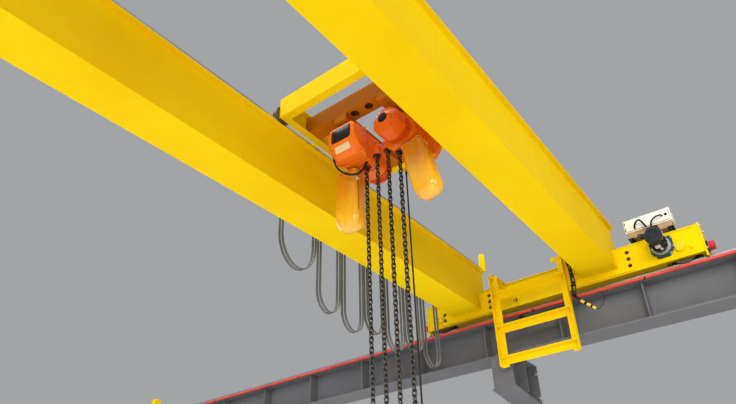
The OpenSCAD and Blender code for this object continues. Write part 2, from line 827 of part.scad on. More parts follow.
// Direction of a line at one of its points; it starts and ends level
function heading(line, k) = let (
        last = len(line) - 1,
        d = k == 0 || k == last ? [1, 0] : line[k + 1] - line[k - 1])
    d / norm(d);

// Section of a flat cable with cut corners, across its width and its thickness
function cable_section() = let (w = flat_cable_w / 2, t = flat_cable_t / 2, c = flat_cable_t / 4)
    [[w, t - c], [w - c, t], [c - w, t], [-w, t - c], [-w, c - t], [c - w, -t], [w - c, -t], [w, c - t]];

module flat_cable() {
    line = festoon_line();
    section = cable_section();
    n = len(section);
    last = len(line) - 1;
    points = [for (k = [0 : last], q = section) let (h = heading(line, k))
        [line[k][0] - q[1] * h[1], q[0], line[k][1] + q[1] * h[0]]];
    sides = [for (k = [0 : last - 1], i = [0 : n - 1])
        let (a = k * n + i, b = k * n + (i + 1) % n) each [[a, a + n, b + n], [a, b + n, b]]];
    caps = [[for (i = [0 : n - 1]) i], [for (i = [n - 1 : -1 : 0]) last * n + i]];
    polyhedron(points = points, faces = concat(sides, caps));
}

// Two flat cables side by side
module festoon_loops() {
    for (side = [-1, 1]) translate([0, track_y + side * cable_side, saddle_z]) flat_cable();
}

// Trolley

module channel_y(x, face) {
    p = trolley_plate;
    f = trolley_flange;
    y1 = side_y - p - seat;
    y0 = -y1;
    x_in = x + face * f;
    block([min(x, x + face * p), y0, frame_bottom], [max(x, x + face * p), y1, frame_top]);
    for (z = [frame_bottom, frame_top - p])
        block([min(x, x_in), y0, z], [max(x, x_in), y1, z + p]);
}

module side_member(side) {
    p = trolley_plate;
    x0 = trolley_front + trolley_flange + seat;
    x1 = trolley_rear - trolley_flange - seat;
    mirror([0, side < 0 ? 1 : 0, 0]) difference() {
        union() {
            block([trolley_front, side_y - p, frame_bottom], [trolley_rear, side_y, frame_top]);
            for (z = [frame_bottom, frame_top - p])
                block([x0, side_y - side_w, z], [x1, side_y, z + p]);
            for (x = [wheel_front_x, wheel_rear_x])
                bar_y_axis(bearing_d, side_y - p - 26, side_y - 1, x, trolley_axle_z);
        }
        for (x = [wheel_front_x, wheel_rear_x])
            bar_y_axis(trolley_axle_d + 2 * seat, side_y - side_w, side_y + 1, x, trolley_axle_z);
    }
}

module wheel_at(d, tread, flange_h, flange_t, bore) {
    difference() {
        union() {
            cylinder(d = d, h = tread, center = true);
            for (s = [-1, 1]) translate([0, 0, s * (tread + flange_t) / 2])
                cylinder(d = d + 2 * flange_h, h = flange_t, center = true);
        }
        for (s = [-1, 1]) translate([0, 0, s * (tread / 2 + flange_t)])
            difference() {
                cylinder(d = d * 0.78, h = flange_t * 2.4, center = true);
                cylinder(d = bore * 2, h = flange_t * 3, center = true);
            }
    }
    cylinder(d = bore, h = truck_w + 2 * keeper_t, center = true);
}

module travel_wheel(y) {
    translate([rail_x, y, axle_z]) rotate([0, 90, 0])
        wheel_at(wheel_d, wheel_tread, wheel_flange_h, wheel_flange_t, axle_d);
}

module trolley_wheel(x, side) {
    flange_t = 8;
    inner = trolley_gauge / 2 - trolley_rail / 2 - run;
    outer = trolley_gauge / 2 + trolley_rail / 2 + 4;
    mirror([0, side < 0 ? 1 : 0, 0]) {
        bar_y_axis(trolley_wheel_d, inner - 1, outer, x, trolley_axle_z);
        bar_y_axis(trolley_wheel_d + 24, inner - flange_t, inner, x, trolley_axle_z);
        bar_y_axis(trolley_axle_d, side_y - trolley_plate - 26, outer + 8, x, trolley_axle_z);
        bar_y_axis(trolley_axle_d + 22, outer - 1, outer + 6, x, trolley_axle_z);
    }
}

module load_beam(x) {
    top = load_bottom + load_beam_h;
    p = trolley_plate;
    y1 = side_y - trolley_plate - seat;
    difference() {
        block([x, -y1, load_bottom], [x + load_beam_w, y1, top]);
        block([x + p, -y1 - 1, load_bottom + p], [x + load_beam_w - p, y1 + 1, top - p]);
        for (y = [load_hole_y - load_hole_gap / 2, load_hole_y + load_hole_gap / 2])
            translate([x + load_beam_w / 2, y, load_bottom - 1]) cylinder(d = load_hole_d, h = p + 2);
    }
}

module bearer(y) {
    x0 = load_front_x;
    x1 = load_rear_x + load_beam_w;
    deep = 60;
    half = 55;
    block([x0, y - half, load_bottom - seat - deep], [x1, y + half, load_bottom - seat]);
    for (x = [chain_x - 30, chain_x + 130])
        block([x - 20, y - 40, casing_top + seat], [x + 20, y + 40, load_bottom - deep]);
}

module casing_profile(w, h, r) {
    intersection() {
        square([h, w], center = true);
        circle(r = r);
    }
}

// Gear casing: a body with a flange at each end and ribs between them
module casing(x0, y) {
    flange = 16;
    rib = 6;
    inset = 7;
    r = casing_h * 0.58;
    ribs = 4;
    step = (casing_l - 2 * flange) / (ribs + 1);
    translate([x0, y, casing_mid]) rotate([0, 90, 0]) {
        linear_extrude(height = casing_l) casing_profile(casing_w - 2 * inset, casing_h, r);
        for (x = [0, casing_l - flange])
            translate([0, 0, x]) linear_extrude(height = flange) casing_profile(casing_w, casing_h, r);
        for (i = [1 : ribs])
            translate([0, 0, flange + i * step - rib / 2]) linear_extrude(height = rib)
                casing_profile(casing_w - rib, casing_h, r);
    }
}

// Side outline of a control box: the lid slopes back below and above its flat face
module control_outline() {
    low = -control_h / 2;
    high = control_h / 2;
    top_slope = 28;
    polygon([[0, low + lid_slope_h], [lid_slope_d, low], [control_l, low], [control_l, high],
        [top_slope, high], [0, high - top_slope]]);
}

// Control box from its lid at x0, which faces away from the motor
module control_box(x0, y, turned) {
    translate([x0, y, -hoist_z]) mirror([turned ? 1 : 0, 0, 0]) intersection() {
        rotate([0, 90, 0]) linear_extrude(height = control_l)
            casing_profile(control_w, control_h, control_h * 0.56);
        rotate([90, 0, 0]) linear_extrude(height = control_w, center = true) control_outline();
    }
}

// Finned motor from x0 to x1 with its fan cover towards the side named by end
module hoist_motor(x0, x1, y, end) {
    cover = 62;
    straight = 36;
    a = end < 0 ? x0 + cover - 1 : x0;
    b = end < 0 ? x1 : x1 - cover + 1;
    bar_x_axis(hoist_motor_d, a, b, y, -hoist_z);
    for (x = [a + 20 : 22 : b - 12]) bar_x_axis(hoist_motor_d + 24, x, x + 6, y, -hoist_z);
    translate([end < 0 ? x0 + cover : x1 - cover, y, -hoist_z]) mirror([end < 0 ? 1 : 0, 0, 0])
        rotate([0, 90, 0]) rotate([0, 0, 22.5]) {
            cylinder(d = hoist_motor_d + 8, h = straight, $fn = 8);
            translate([0, 0, straight - 1])
                cylinder(d1 = hoist_motor_d + 8, d2 = hoist_motor_d * 0.5,
                    h = cover - straight + 1, $fn = 8);
        }
}

// Guide that a fall leaves through: it reaches from the casing out over the chain
module chain_guide(y, low, out) {
    half = 34;
    reach = out * fall_side * 0.7;
    block([chain_x - half, min(y - out * half, y + reach), low],
        [chain_x + half, max(y - out * half, y + reach), low + 2 * guide_mouth]);
}

module guide_bore(y, low) {
    translate([chain_x, y, low - 20]) cylinder(d = guide_bore_d, h = guide_mouth + 20);
}

// Lug and pin that the bucket hangs from
module bucket_hanger(side) {
    y = hoist_shift + side * bucket_out;
    block([bucket_x - 8, y - 12, bucket_pin_z - 12], [bucket_x + 8, y + 12, casing_bottom + 30]);
    reach = (bucket_d - bucket_taper) / 2 + 8;
    bar_x_axis(bucket_pin, bucket_x - reach, bucket_x + reach, y, bucket_pin_z);
}

module casings() {
    difference() {
        union() {
            casing(hoist_front + control_l + seat, hoist_left_y);
            casing(hoist_front + fan_end_l + seat, hoist_right_y);
            for (i = [0, 1]) {
                chain_guide(outer_falls[i], guide_bottom, 1 - 2 * i);
                chain_guide(inner_falls[i], guide_bottom + inner_rise, 1 - 2 * i);
            }
        }
        for (i = [0, 1]) {
            guide_bore(outer_falls[i], guide_bottom);
            guide_bore(inner_falls[i], guide_bottom + inner_rise);
        }
    }
    for (side = [-1, 1]) bucket_hanger(side);
}

module motors() {
    hoist_motor(hoist_front + control_l + casing_l + 2 * seat, hoist_front + hoist_l, hoist_left_y, 1);
    hoist_motor(hoist_front, hoist_front + fan_end_l, hoist_right_y, -1);
}

// Side of a bucket from the mouth down: it widens, runs straight and ends round
module bucket_side(w, h, r) {
    mouth = (w - bucket_taper) / 2;
    wide = -h * 0.45;
    polygon([[-mouth, 0], [mouth, 0], [w / 2, wide], [w / 2, r - h], [-w / 2, r - h], [-w / 2, wide]]);
    for (s = [-1, 1]) translate([s * (w / 2 - r), r - h]) circle(r = r, $fn = 64);
    translate([r - w / 2, -h]) square([w - 2 * r, r]);
}

// Body with the two side outlines, both smaller by a wall
module bucket_body(wall) {
    w = bucket_w - 2 * wall;
    d = bucket_d - 2 * wall;
    h = bucket_h - wall;
    r = bucket_round - wall;
    intersection() {
        rotate([90, 0, 90]) linear_extrude(height = bucket_d, center = true) bucket_side(w, h, r);
        rotate([90, 0, 0]) linear_extrude(height = bucket_w, center = true) bucket_side(d, h, r);
    }
}

module bucket(side) {
    lean = side < 0 ? bucket_lean : 0;
    mouth_w = bucket_w - bucket_taper - 2 * bucket_wall;
    mouth_d = bucket_d - bucket_taper - 2 * bucket_wall;
    translate([bucket_x, hoist_shift + side * bucket_out, bucket_pin_z]) rotate([-lean, 0, 0]) difference() {
        translate([0, 0, bucket_lip]) bucket_body(0);
        translate([0, 0, bucket_lip]) bucket_body(bucket_wall);
        translate([-mouth_d / 2, -mouth_w / 2, bucket_lip - 1]) cube([mouth_d, mouth_w, 2]);
        bar_x_axis(bucket_pin + 2 * seat, -bucket_d, bucket_d, 0, 0);
    }
}

// A link is two straight sides and two round ends, numbered from 0 to 3
module link_part(part) {
    r = chain_wire / 2;
    side = part < 2 ? 1 : -1;
    if (part % 2 == 0)
        translate([side * link_bend, 0, -link_straight]) cylinder(r = r, h = 2 * link_straight);
    else
        mirror([0, 0, side < 0 ? 1 : 0]) translate([0, 0, link_straight]) rotate([90, 0, 0])
            rotate_extrude(angle = 180) translate([link_bend, 0]) circle(r = r);
}

// Every second link of the four falls, from the first or the second one on
module chain_links_facing(turn) {
    outer = [for (y = outer_falls, i = [turn : 2 : chain_links - 1]) [y, first_link_z - i * chain_pitch]];
    inner = [for (y = inner_falls, i = [turn : 2 : chain_links + inner_rise_links - 1])
        [y, first_link_z + inner_rise - i * chain_pitch]];
    for (at = concat(outer, inner), part = [0 : 3])
        translate([chain_x, at[0], at[1]]) rotate([0, 0, turn * 90]) link_part(part, $fn = 16);
}

// Block with cut lower corners, the shank and the hook, which opens to the right
module hook_block_body() {
    side = 60;
    deep = 190;
    half_t = 48;
    cut = 64;
    y0 = outer_falls[1] - side;
    y1 = outer_falls[0] + side;
    z0 = block_top - deep;
    hook_y = (y0 + y1) / 2;
    shank_d = 60;
    shank = 60;
    hook_r = 70;
    wire_r = 22;
    difference() {
        translate([chain_x - half_t, 0, 0]) rotate([90, 0, 90]) linear_extrude(height = 2 * half_t)
            polygon([[y0, block_top], [y0, z0 + cut], [y0 + cut, z0],
                [y1 - cut, z0], [y1, z0 + cut], [y1, block_top]]);
        for (y = concat(outer_falls, inner_falls))
            translate([chain_x, y, block_floor]) cylinder(d = guide_bore_d, h = 40);
    }
    translate([chain_x, hook_y, z0 - shank]) cylinder(d = shank_d, h = shank + 1);
    translate([chain_x, hook_y, z0 - shank - hook_r]) rotate([90, 0, 90]) rotate([0, 0, -130])
        rotate_extrude(angle = 250) translate([hook_r, 0]) circle(r = wire_r);
}

// Trolley drive: gearbox on the right side member and a finned motor across the frame
module trolley_drive_unit() {
    box = 110;
    box_w = 86;
    drive_d = 120;
    drive_l = 240;
    x = trolley_rear - trolley_flange - 80;
    y0 = 4 - side_y;
    z = frame_top + 66;
    block([x - box / 2, y0, frame_top], [x + box / 2, y0 + box_w, frame_top + box]);
    bar_y_axis(drive_d - 14, y0 + box_w - 1, y0 + box_w + drive_l, x, z);
    for (y = [y0 + box_w + 20 : 16 : y0 + box_w + drive_l - 50]) bar_y_axis(drive_d, y, y + 5, x, z);
    bar_y_axis(drive_d, y0 + box_w + drive_l - 44, y0 + box_w + drive_l + 1, x, z);
}

// Arm that reaches over the girder and holds the first saddle of the cable
module tow_arm_bar() {
    half = 20;
    plate = 8;
    y1 = track_y + track_w / 2 + 22;
    z = 150;
    block([tow_x - half, side_y, z], [tow_x + half, y1, z + plate]);
    block([tow_x - half, y1 - plate, saddle_z - half], [tow_x + half, y1, z + 1]);
    bar_y_axis(saddle_d, track_y - saddle_w / 2, y1 - plate + 1, tow_x, saddle_z);
}

pendant_x = trolley_rear + 26;
pendant_y = 180;
pendant_top = frame_bottom - 16;

module pendant_bracket() {
    block([trolley_rear, pendant_y - 30, pendant_top],
        [trolley_rear + 5, pendant_y + 30, frame_bottom + 80]);
    block([trolley_rear, pendant_y - 30, pendant_top], [trolley_rear + 46, pendant_y + 30, pendant_top + 6]);
}

function ring(p, r, n) = [for (k = [0 : n - 1])
    [p[0] + r * cos(360 * k / n), p[1] + r * sin(360 * k / n), p[2]]];

module pendant_tube() {
    r = 7;
    n = 8;
    z1 = pendant_top;
    count = 12;
    rings = [for (i = [0 : count]) ring([pendant_x, pendant_y, z1 - pendant_drop * i / count], r, n)];
    points = [for (a = rings) each a];
    sides = [for (i = [0 : count - 1], k = [0 : n - 1])
        [i * n + k, i * n + (k + 1) % n, (i + 1) * n + (k + 1) % n, (i + 1) * n + k]];
    caps = [[for (k = [n - 1 : -1 : 0]) k], [for (k = [0 : n - 1]) count * n + k]];
    polyhedron(points = points, faces = concat(sides, caps));
}

module station() {
    z1 = pendant_top - pendant_drop;
    translate([pendant_x, pendant_y, z1]) {
        translate([0, 0, -40]) cylinder(d1 = 34, d2 = 20, h = 40);
        block([-32, -42, -40 - pendant_h], [32, 42, -40]);
        for (i = [0 : 4]) translate([-32, 0, -80 - i * 52]) rotate([0, -90, 0]) cylinder(d = 30, h = 12);
    }
}

// Nodes

module runway_beam_far() { color("dimgray") in_place() runway_beam(); }
module runway_beam_near() { color("dimgray") in_place() at_near_end() runway_beam(); }
module runway_rail_far() { color("slategray") in_place() runway_rail(); }
module runway_rail_near() { color("slategray") in_place() at_near_end() runway_rail(); }
module corbels_far() { color("dimgray") in_place() corbels(); }
module corbels_near() { color("dimgray") in_place() at_near_end() corbels(); }
module runway_end_stops() { color("gold") in_place() both_ends() runway_stops(); }
module conductor_bar() { color("tomato") in_place() conductor_housing(); }
module conductor_hangers() { color("gray") in_place() conductor_hanger_row(); }
module left_girder() { color("gold") in_place() girder_at(1); }
module right_girder() { color("gold") in_place() girder_at(-1); }
module end_truck_far() { color("gold") in_place() end_truck(); }
module end_truck_near() { color("gold") in_place() at_near_end() end_truck(); }
module joint_plates() { color("gold") in_place() both_ends() joint_plate_set(); }
module truck_buffers() { color("firebrick") in_place() both_ends() buffers(); }
module trolley_rail_left() { color("silver") in_place() trolley_rail_bar(1); }
module trolley_rail_right() { color("silver") in_place() trolley_rail_bar(-1); }
module trolley_end_stops() { color("gold") in_place() both_ends() rail_stops(); }
module travel_gearboxes() { color("darkslategray") in_place() both_ends() travel_gearbox(); }
module travel_motors() { color("dimgray") in_place() both_ends() travel_motor(); }
module control_cabinet() { color("ivory") in_place() cabinet(); }
module cabinet_legs() { color("black") in_place() cabinet_leg_set(); }
module collector_frame() { color("gold") in_place() collector_frame_bars(); }
module collector_arm() { color("black") in_place() collector(); }
module festoon_track() { color("silver") in_place() track_rail(); }
module festoon_brackets() { color("gold") in_place() track_brackets(); }
module wheel_far_left() { color("gray") in_place() travel_wheel(wheel_y_left); }
module wheel_far_right() { color("gray") in_place() travel_wheel(wheel_y_right); }
module wheel_near_left() { color("gray") in_place() at_near_end() travel_wheel(wheel_y_left); }
module wheel_near_right() { color("gray") in_place() at_near_end() travel_wheel(wheel_y_right); }
module trolley_side_members() { color("gold") in_place() for (s = [-1, 1]) side_member(s); }
module trolley_front_beam() { color("gold") in_place() channel_y(trolley_front, 1); }
module trolley_rear_beam() {
    color("gold") in_place() {
        channel_y(trolley_rear, -1);
        pendant_bracket();
    }
}
module load_beams() { color("orange") in_place() for (x = [load_front_x, load_rear_x]) load_beam(x); }
module hoist_bearers() { color("orange") in_place() for (y = [hoist_left_y, hoist_right_y]) bearer(y); }
module trolley_drive() { color("dimgray") in_place() trolley_drive_unit(); }
module tow_arm() { color("gold") in_place() tow_arm_bar(); }
module trolley_wheel_front_left() { color("brown") in_place() trolley_wheel(wheel_front_x, 1); }
module trolley_wheel_front_right() { color("brown") in_place() trolley_wheel(wheel_front_x, -1); }
module trolley_wheel_rear_left() { color("brown") in_place() trolley_wheel(wheel_rear_x, 1); }
module trolley_wheel_rear_right() { color("brown") in_place() trolley_wheel(wheel_rear_x, -1); }
module hoist_casings() { color("darkorange") in_place() casings(); }
module control_boxes() {
    color("darkorange") in_place() {
        control_box(hoist_front, hoist_left_y, false);
        control_box(hoist_front + fan_end_l + casing_l + 2 * seat + control_l, hoist_right_y, true);
    }
}
module hoist_motors() { color("orangered") in_place() motors(); }
module bucket_left() { color("orange") in_place() bucket(1); }
module bucket_right() { color("orange") in_place() bucket(-1); }
module chain_flat_links() { color("black") in_place() chain_links_facing(0); }
module chain_edge_links() { color("black") in_place() chain_links_facing(1); }
module hook_block() { color("darkorange") in_place() hook_block_body(); }
module pendant_cable() { color("black") in_place() pendant_tube(); }
module pendant_station() { color("gold") in_place() station(); }
module festoon_carrier_1() { color("silver") in_place() carrier(0); }
module festoon_carrier_2() { color("silver") in_place() carrier(1); }
module festoon_carrier_3() { color("silver") in_place() carrier(2); }
module festoon_carrier_4() { color("silver") in_place() carrier(3); }
module festoon_carrier_5() { color("silver") in_place() carrier(4); }
module festoon_carrier_6() { color("silver") in_place() carrier(5); }
module festoon_cable() { color("dimgray") in_place() festoon_loops(); }

runway_beam_far();
runway_beam_near();
runway_rail_far();
runway_rail_near();
corbels_far();
corbels_near();
runway_end_stops();
conductor_bar();
conductor_hangers();
left_girder();
right_girder();
end_truck_far();
end_truck_near();
joint_plates();
truck_buffers();
trolley_rail_left();
trolley_rail_right();
trolley_end_stops();
travel_gearboxes();
travel_motors();
control_cabinet();
cabinet_legs();
collector_frame();
collector_arm();
festoon_track();
festoon_brackets();
wheel_far_left();
wheel_far_right();
wheel_near_left();
wheel_near_right();
trolley_side_members();
trolley_front_beam();
trolley_rear_beam();
load_beams();
hoist_bearers();
trolley_drive();
tow_arm();
trolley_wheel_front_left();
trolley_wheel_front_right();
trolley_wheel_rear_left();
trolley_wheel_rear_right();
hoist_casings();
control_boxes();
hoist_motors();
bucket_left();
bucket_right();
chain_flat_links();
chain_edge_links();
hook_block();
pendant_cable();
pendant_station();
festoon_carrier_1();
festoon_carrier_2();
festoon_carrier_3();
festoon_carrier_4();
festoon_carrier_5();
festoon_carrier_6();
festoon_cable();
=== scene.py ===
"""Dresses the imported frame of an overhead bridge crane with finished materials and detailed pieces.

Measures are kept in the crane's own millimetres: X along the girders from the far truck's
inner face, Y from the middle of the gauge, Z down from the top of the girders. `place` turns
them into the row frame in metres.
"""
import json
import logging
import math
from dataclasses import dataclass
from enum import Enum
from typing import Iterable, Mapping, Optional, Sequence

import bmesh
import bpy
from mathutils import Matrix, Vector


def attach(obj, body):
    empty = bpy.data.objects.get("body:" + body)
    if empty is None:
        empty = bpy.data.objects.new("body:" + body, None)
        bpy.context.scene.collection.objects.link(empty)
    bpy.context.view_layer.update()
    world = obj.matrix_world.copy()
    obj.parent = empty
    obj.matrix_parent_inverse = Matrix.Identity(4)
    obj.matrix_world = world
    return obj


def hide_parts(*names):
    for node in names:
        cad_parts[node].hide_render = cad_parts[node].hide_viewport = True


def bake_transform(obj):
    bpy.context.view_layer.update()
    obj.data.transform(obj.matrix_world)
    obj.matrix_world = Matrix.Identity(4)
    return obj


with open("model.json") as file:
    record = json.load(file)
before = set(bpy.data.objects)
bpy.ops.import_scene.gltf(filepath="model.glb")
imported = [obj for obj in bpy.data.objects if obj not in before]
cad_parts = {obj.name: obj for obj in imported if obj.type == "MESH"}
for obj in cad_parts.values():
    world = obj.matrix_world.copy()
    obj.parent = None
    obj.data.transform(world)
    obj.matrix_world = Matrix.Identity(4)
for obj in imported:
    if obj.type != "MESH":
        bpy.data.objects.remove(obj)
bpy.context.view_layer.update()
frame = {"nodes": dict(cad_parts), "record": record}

LOG = logging.getLogger("crane")

Point = tuple[float, float, float]
Flat = tuple[float, float]
Colour = tuple[float, float, float]
Axis = str

ORIGIN = Vector((0.510, 0.400, -1.323))
NEAR_FACE = -10320.0
PHOTO_WIDTH = 736
SHARP = math.radians(25.0)


def place(x: float, y: float, z: float) -> Vector:
    """Turns a crane point into the row frame.

    Args:
        x: distance along the girders in mm.
        y: distance along the runway in mm.
        z: height above the top of the girders in mm.

    Returns:
        The point in metres in the row frame.
    """
    return Vector((x, y, z)) / 1000 - ORIGIN


# Shader building


class Sock:
    """A shader value that can be used in plain arithmetic."""

    def __init__(self, shader: "Shader", socket: bpy.types.NodeSocket) -> None:
        """Args:
            shader: the material being built.
            socket: the output that holds the value.
        """
        self.shader = shader
        self.socket = socket

    def _math(self, operation: str, other: "Sock | float", swap: bool = False) -> "Sock":
        """Returns: the result of a Math node on this value and another one."""
        pair = [other, self] if swap else [self, other]
        return self.shader.value("ShaderNodeMath", {"operation": operation}, dict(enumerate(pair)))

    def __add__(self, other: "Sock | float") -> "Sock":
        """Returns: the sum."""
        return self._math("ADD", other)

    def __radd__(self, other: float) -> "Sock":
        """Returns: the sum."""
        return self._math("ADD", other, swap=True)

    def __sub__(self, other: "Sock | float") -> "Sock":
        """Returns: the difference."""
        return self._math("SUBTRACT", other)

    def __rsub__(self, other: float) -> "Sock":
        """Returns: the difference from a number."""
        return self._math("SUBTRACT", other, swap=True)

    def __mul__(self, other: "Sock | float") -> "Sock":
        """Returns: the product."""
        return self._math("MULTIPLY", other)

    def __rmul__(self, other: float) -> "Sock":
        """Returns: the product."""
        return self._math("MULTIPLY", other, swap=True)

    def ramp(self, low: float, high: float) -> "Sock":
        """Returns: 0 at low, 1 at high, and a smooth rise between them."""
        return self.shader.value("ShaderNodeMapRange", {"interpolation_type": "SMOOTHSTEP"},
                                 {"Value": self, "From Min": low, "From Max": high})


class Shader:
    """Builds one node material in Object coordinates."""

    def __init__(self, name: str) -> None:
        """Args:
            name: the material's name.
        """
        self.material = bpy.data.materials.new(name)
        self.material.use_nodes = True
        self.tree = self.material.node_tree
        self.tree.nodes.clear()
        self.surface = self.node("ShaderNodeBsdfPrincipled")
        output = self.node("ShaderNodeOutputMaterial")
        self.tree.links.new(self.surface.outputs[0], output.inputs["Surface"])
        self.coordinates = Sock(self, self.node("ShaderNodeTexCoord").outputs["Object"])

    def node(self, kind: str, settings: Optional[Mapping[str, object]] = None,
             sockets: Optional[Mapping[object, object]] = None) -> bpy.types.Node:
        """Makes a node.

        Args:
            kind: the node type.
            settings: attributes, which are set first.
            sockets: values or links of its inputs, by name or number.

        Returns:
            The new node.
        """
        made = self.tree.nodes.new(kind)
        for key, value in (settings or {}).items():
            setattr(made, key, value)
        for key, value in (sockets or {}).items():
            self.feed(made.inputs[key], value)
        return made

    def value(self, kind: str, settings: Mapping[str, object], sockets: Mapping[object, object],
              output: object = 0) -> Sock:
        """Returns: one output of a new node."""
        return Sock(self, self.node(kind, settings, sockets).outputs[output])

    def feed(self, target: bpy.types.NodeSocket, value: object) -> None:
        """Sets an input to a number, a colour or another node's value."""
        if isinstance(value, Sock):
            self.tree.links.new(value.socket, target)
        elif isinstance(value, tuple) and len(value) == 3 and target.type == "RGBA":
            target.default_value = (*value, 1.0)
        else:
            target.default_value = value

    def stretched(self, scale: Point) -> Sock:
        """Returns: the Object coordinates stretched by a factor on each axis."""
        return self.value("ShaderNodeMapping", {}, {"Vector": self.coordinates, "Scale": scale})

    def noise(self, scale: float, stretch: Point = (1, 1, 1), detail: float = 3.0,
              rough: float = 0.55) -> Sock:
        """Returns: noise from 0 to 1 of that many waves a metre."""
        return self.value("ShaderNodeTexNoise", {}, {
            "Vector": self.stretched(stretch), "Scale": scale, "Detail": detail, "Roughness": rough}, "Fac")

    def part(self, axis: int) -> Sock:
        """Returns: one of the Object coordinates."""
        return self.value("ShaderNodeSeparateXYZ", {}, {0: self.coordinates}, axis)

    def facing(self, axis: int) -> Sock:
        """Returns: how far the surface faces along an axis, from -1 to 1."""
        normal = Sock(self, self.node("ShaderNodeNewGeometry").outputs["Normal"])
        return self.value("ShaderNodeSeparateXYZ", {}, {0: normal}, axis)

    def blend(self, low: "Sock | Colour", high: "Sock | Colour", amount: Sock) -> Sock:
        """Returns: a colour between two others."""
        return self.value("ShaderNodeMix", {"data_type": "RGBA"}, {"Factor": amount, 6: low, 7: high}, 2)

    def dress(self, **values: "Sock | float | Colour") -> None:
        """Sets the surface's inputs by name, with underscores for spaces."""
        for key, value in values.items():
            self.feed(self.surface.inputs[key.replace("_", " ")], value)

    def bump(self, height: Sock, depth: float, strength: float) -> None:
        """Raises the surface by a height pattern of that many metres."""
        raised = self.value("ShaderNodeBump", {}, {"Strength": strength, "Distance": depth, "Height": height})
        self.feed(self.surface.inputs["Normal"], raised)


@dataclass(frozen=True)
class Paint:
    """A coat of machine paint with its wear."""

    name: str
    base: Colour
    shade: Colour
    dust: Colour = (0.42, 0.38, 0.30)
    roughness: float = 0.40
    coat: float = 0.0
    sheen: float = 0.15
    dust_amount: float = 0.35
    grime: float = 0.25
    chips: float = 0.0
    primer: Colour = (0.12, 0.10, 0.09)

    def build(self) -> bpy.types.Material:
        """Returns: the painted material."""
        s = Shader(self.name)
        tone = s.blend(self.base, self.shade, s.noise(1.1, detail=4).ramp(0.35, 0.75))
        streak = s.noise(9.0, (1, 1, 0.12), detail=5, rough=0.7).ramp(0.58, 0.86) * self.grime
        tone = s.blend(tone, tuple(c * 0.55 for c in self.shade), streak)
        settled = s.facing(2).ramp(0.4, 0.95) * (s.noise(5.0, detail=5).ramp(0.25, 0.7) * self.dust_amount)
        tone = s.blend(tone, self.dust, settled)
        rough = s.noise(14.0, detail=4) * 0.12 + (self.roughness - 0.06)
        if self.chips:
            chip = s.noise(26.0, detail=6, rough=0.75).ramp(0.74, 0.77) * self.chips
            tone = s.blend(tone, self.primer, chip)
            rough = rough + chip * 0.3
        s.dress(Base_Color=tone, Roughness=rough + settled * 0.5, Coat_Weight=self.coat, Coat_Roughness=0.12,
                Specular_IOR_Level=self.sheen)
        s.bump(s.noise(260.0, detail=2) * 0.6 + s.noise(3.0, detail=2) * 2.0, 0.0004, 0.35)
        return s.material


@dataclass(frozen=True)
class Bare:
    """Bare or oxidised metal."""

    name: str
    base: Colour
    rust: Colour
    rust_amount: float
    roughness: float
    metallic: float = 1.0
    grain: Point = (1, 1, 1)
    grain_scale: float = 60.0

    def build(self) -> bpy.types.Material:
        """Returns: the metal material."""
        s = Shader(self.name)
        grain = s.noise(self.grain_scale, self.grain, detail=4, rough=0.7)
        patch = s.noise(7.0, detail=6, rough=0.7).ramp(0.42, 0.72) * self.rust_amount
        tone = s.blend(self.base, tuple(c * 0.7 for c in self.base), grain.ramp(0.3, 0.8))
        s.dress(Base_Color=s.blend(tone, self.rust, patch), Metallic=(1.0 - patch * 0.85) * self.metallic,
                Roughness=grain * 0.18 + (self.roughness - 0.09) + patch * 0.3)
        s.bump(grain, 0.0003, 0.3)
        return s.material


@dataclass(frozen=True)
class Moulded:
    """Moulded plastic or rubber."""

    name: str
    base: Colour
    shade: Colour
    roughness: float
    coat: float = 0.0
    glow: float = 0.0
    texture: float = 180.0
    sheen: float = 0.5
    # Painted shade: the colour turns towards a darker one from a low to a high Object Z, broken by random
    # vertical streaks.
    depth: Optional[tuple[float, float, Colour]] = None

    def build(self) -> bpy.types.Material:
        """Returns: the moulded material."""
        s = Shader(self.name)
        grain = s.noise(self.texture, detail=2)
        smear = s.noise(11.0, detail=5, rough=0.65)
        tone = s.blend(self.base, self.shade, s.noise(3.5, detail=3).ramp(0.35, 0.7))
        # Painted shade: higher up the colour darkens towards the deep colour, as the upper part of the shell
        # lies in shade.
        if self.depth:
            low, high, deep = self.depth
            streak = s.noise(16.0, (1, 1, 0.12), detail=3).ramp(0.35, 0.7)
            tone = s.blend(tone, deep, s.part(2).ramp(low, high) * (smear * 0.6 + 0.35) + streak * 0.18)
        s.dress(Base_Color=tone,
                Roughness=grain * 0.1 + smear * 0.12 + (self.roughness - 0.11), Coat_Weight=self.coat,
                Coat_Roughness=0.08, Subsurface_Weight=self.glow, Subsurface_Scale=0.02,
                Specular_IOR_Level=self.sheen)
        s.bump(grain, 0.0003, 0.25)
        return s.material


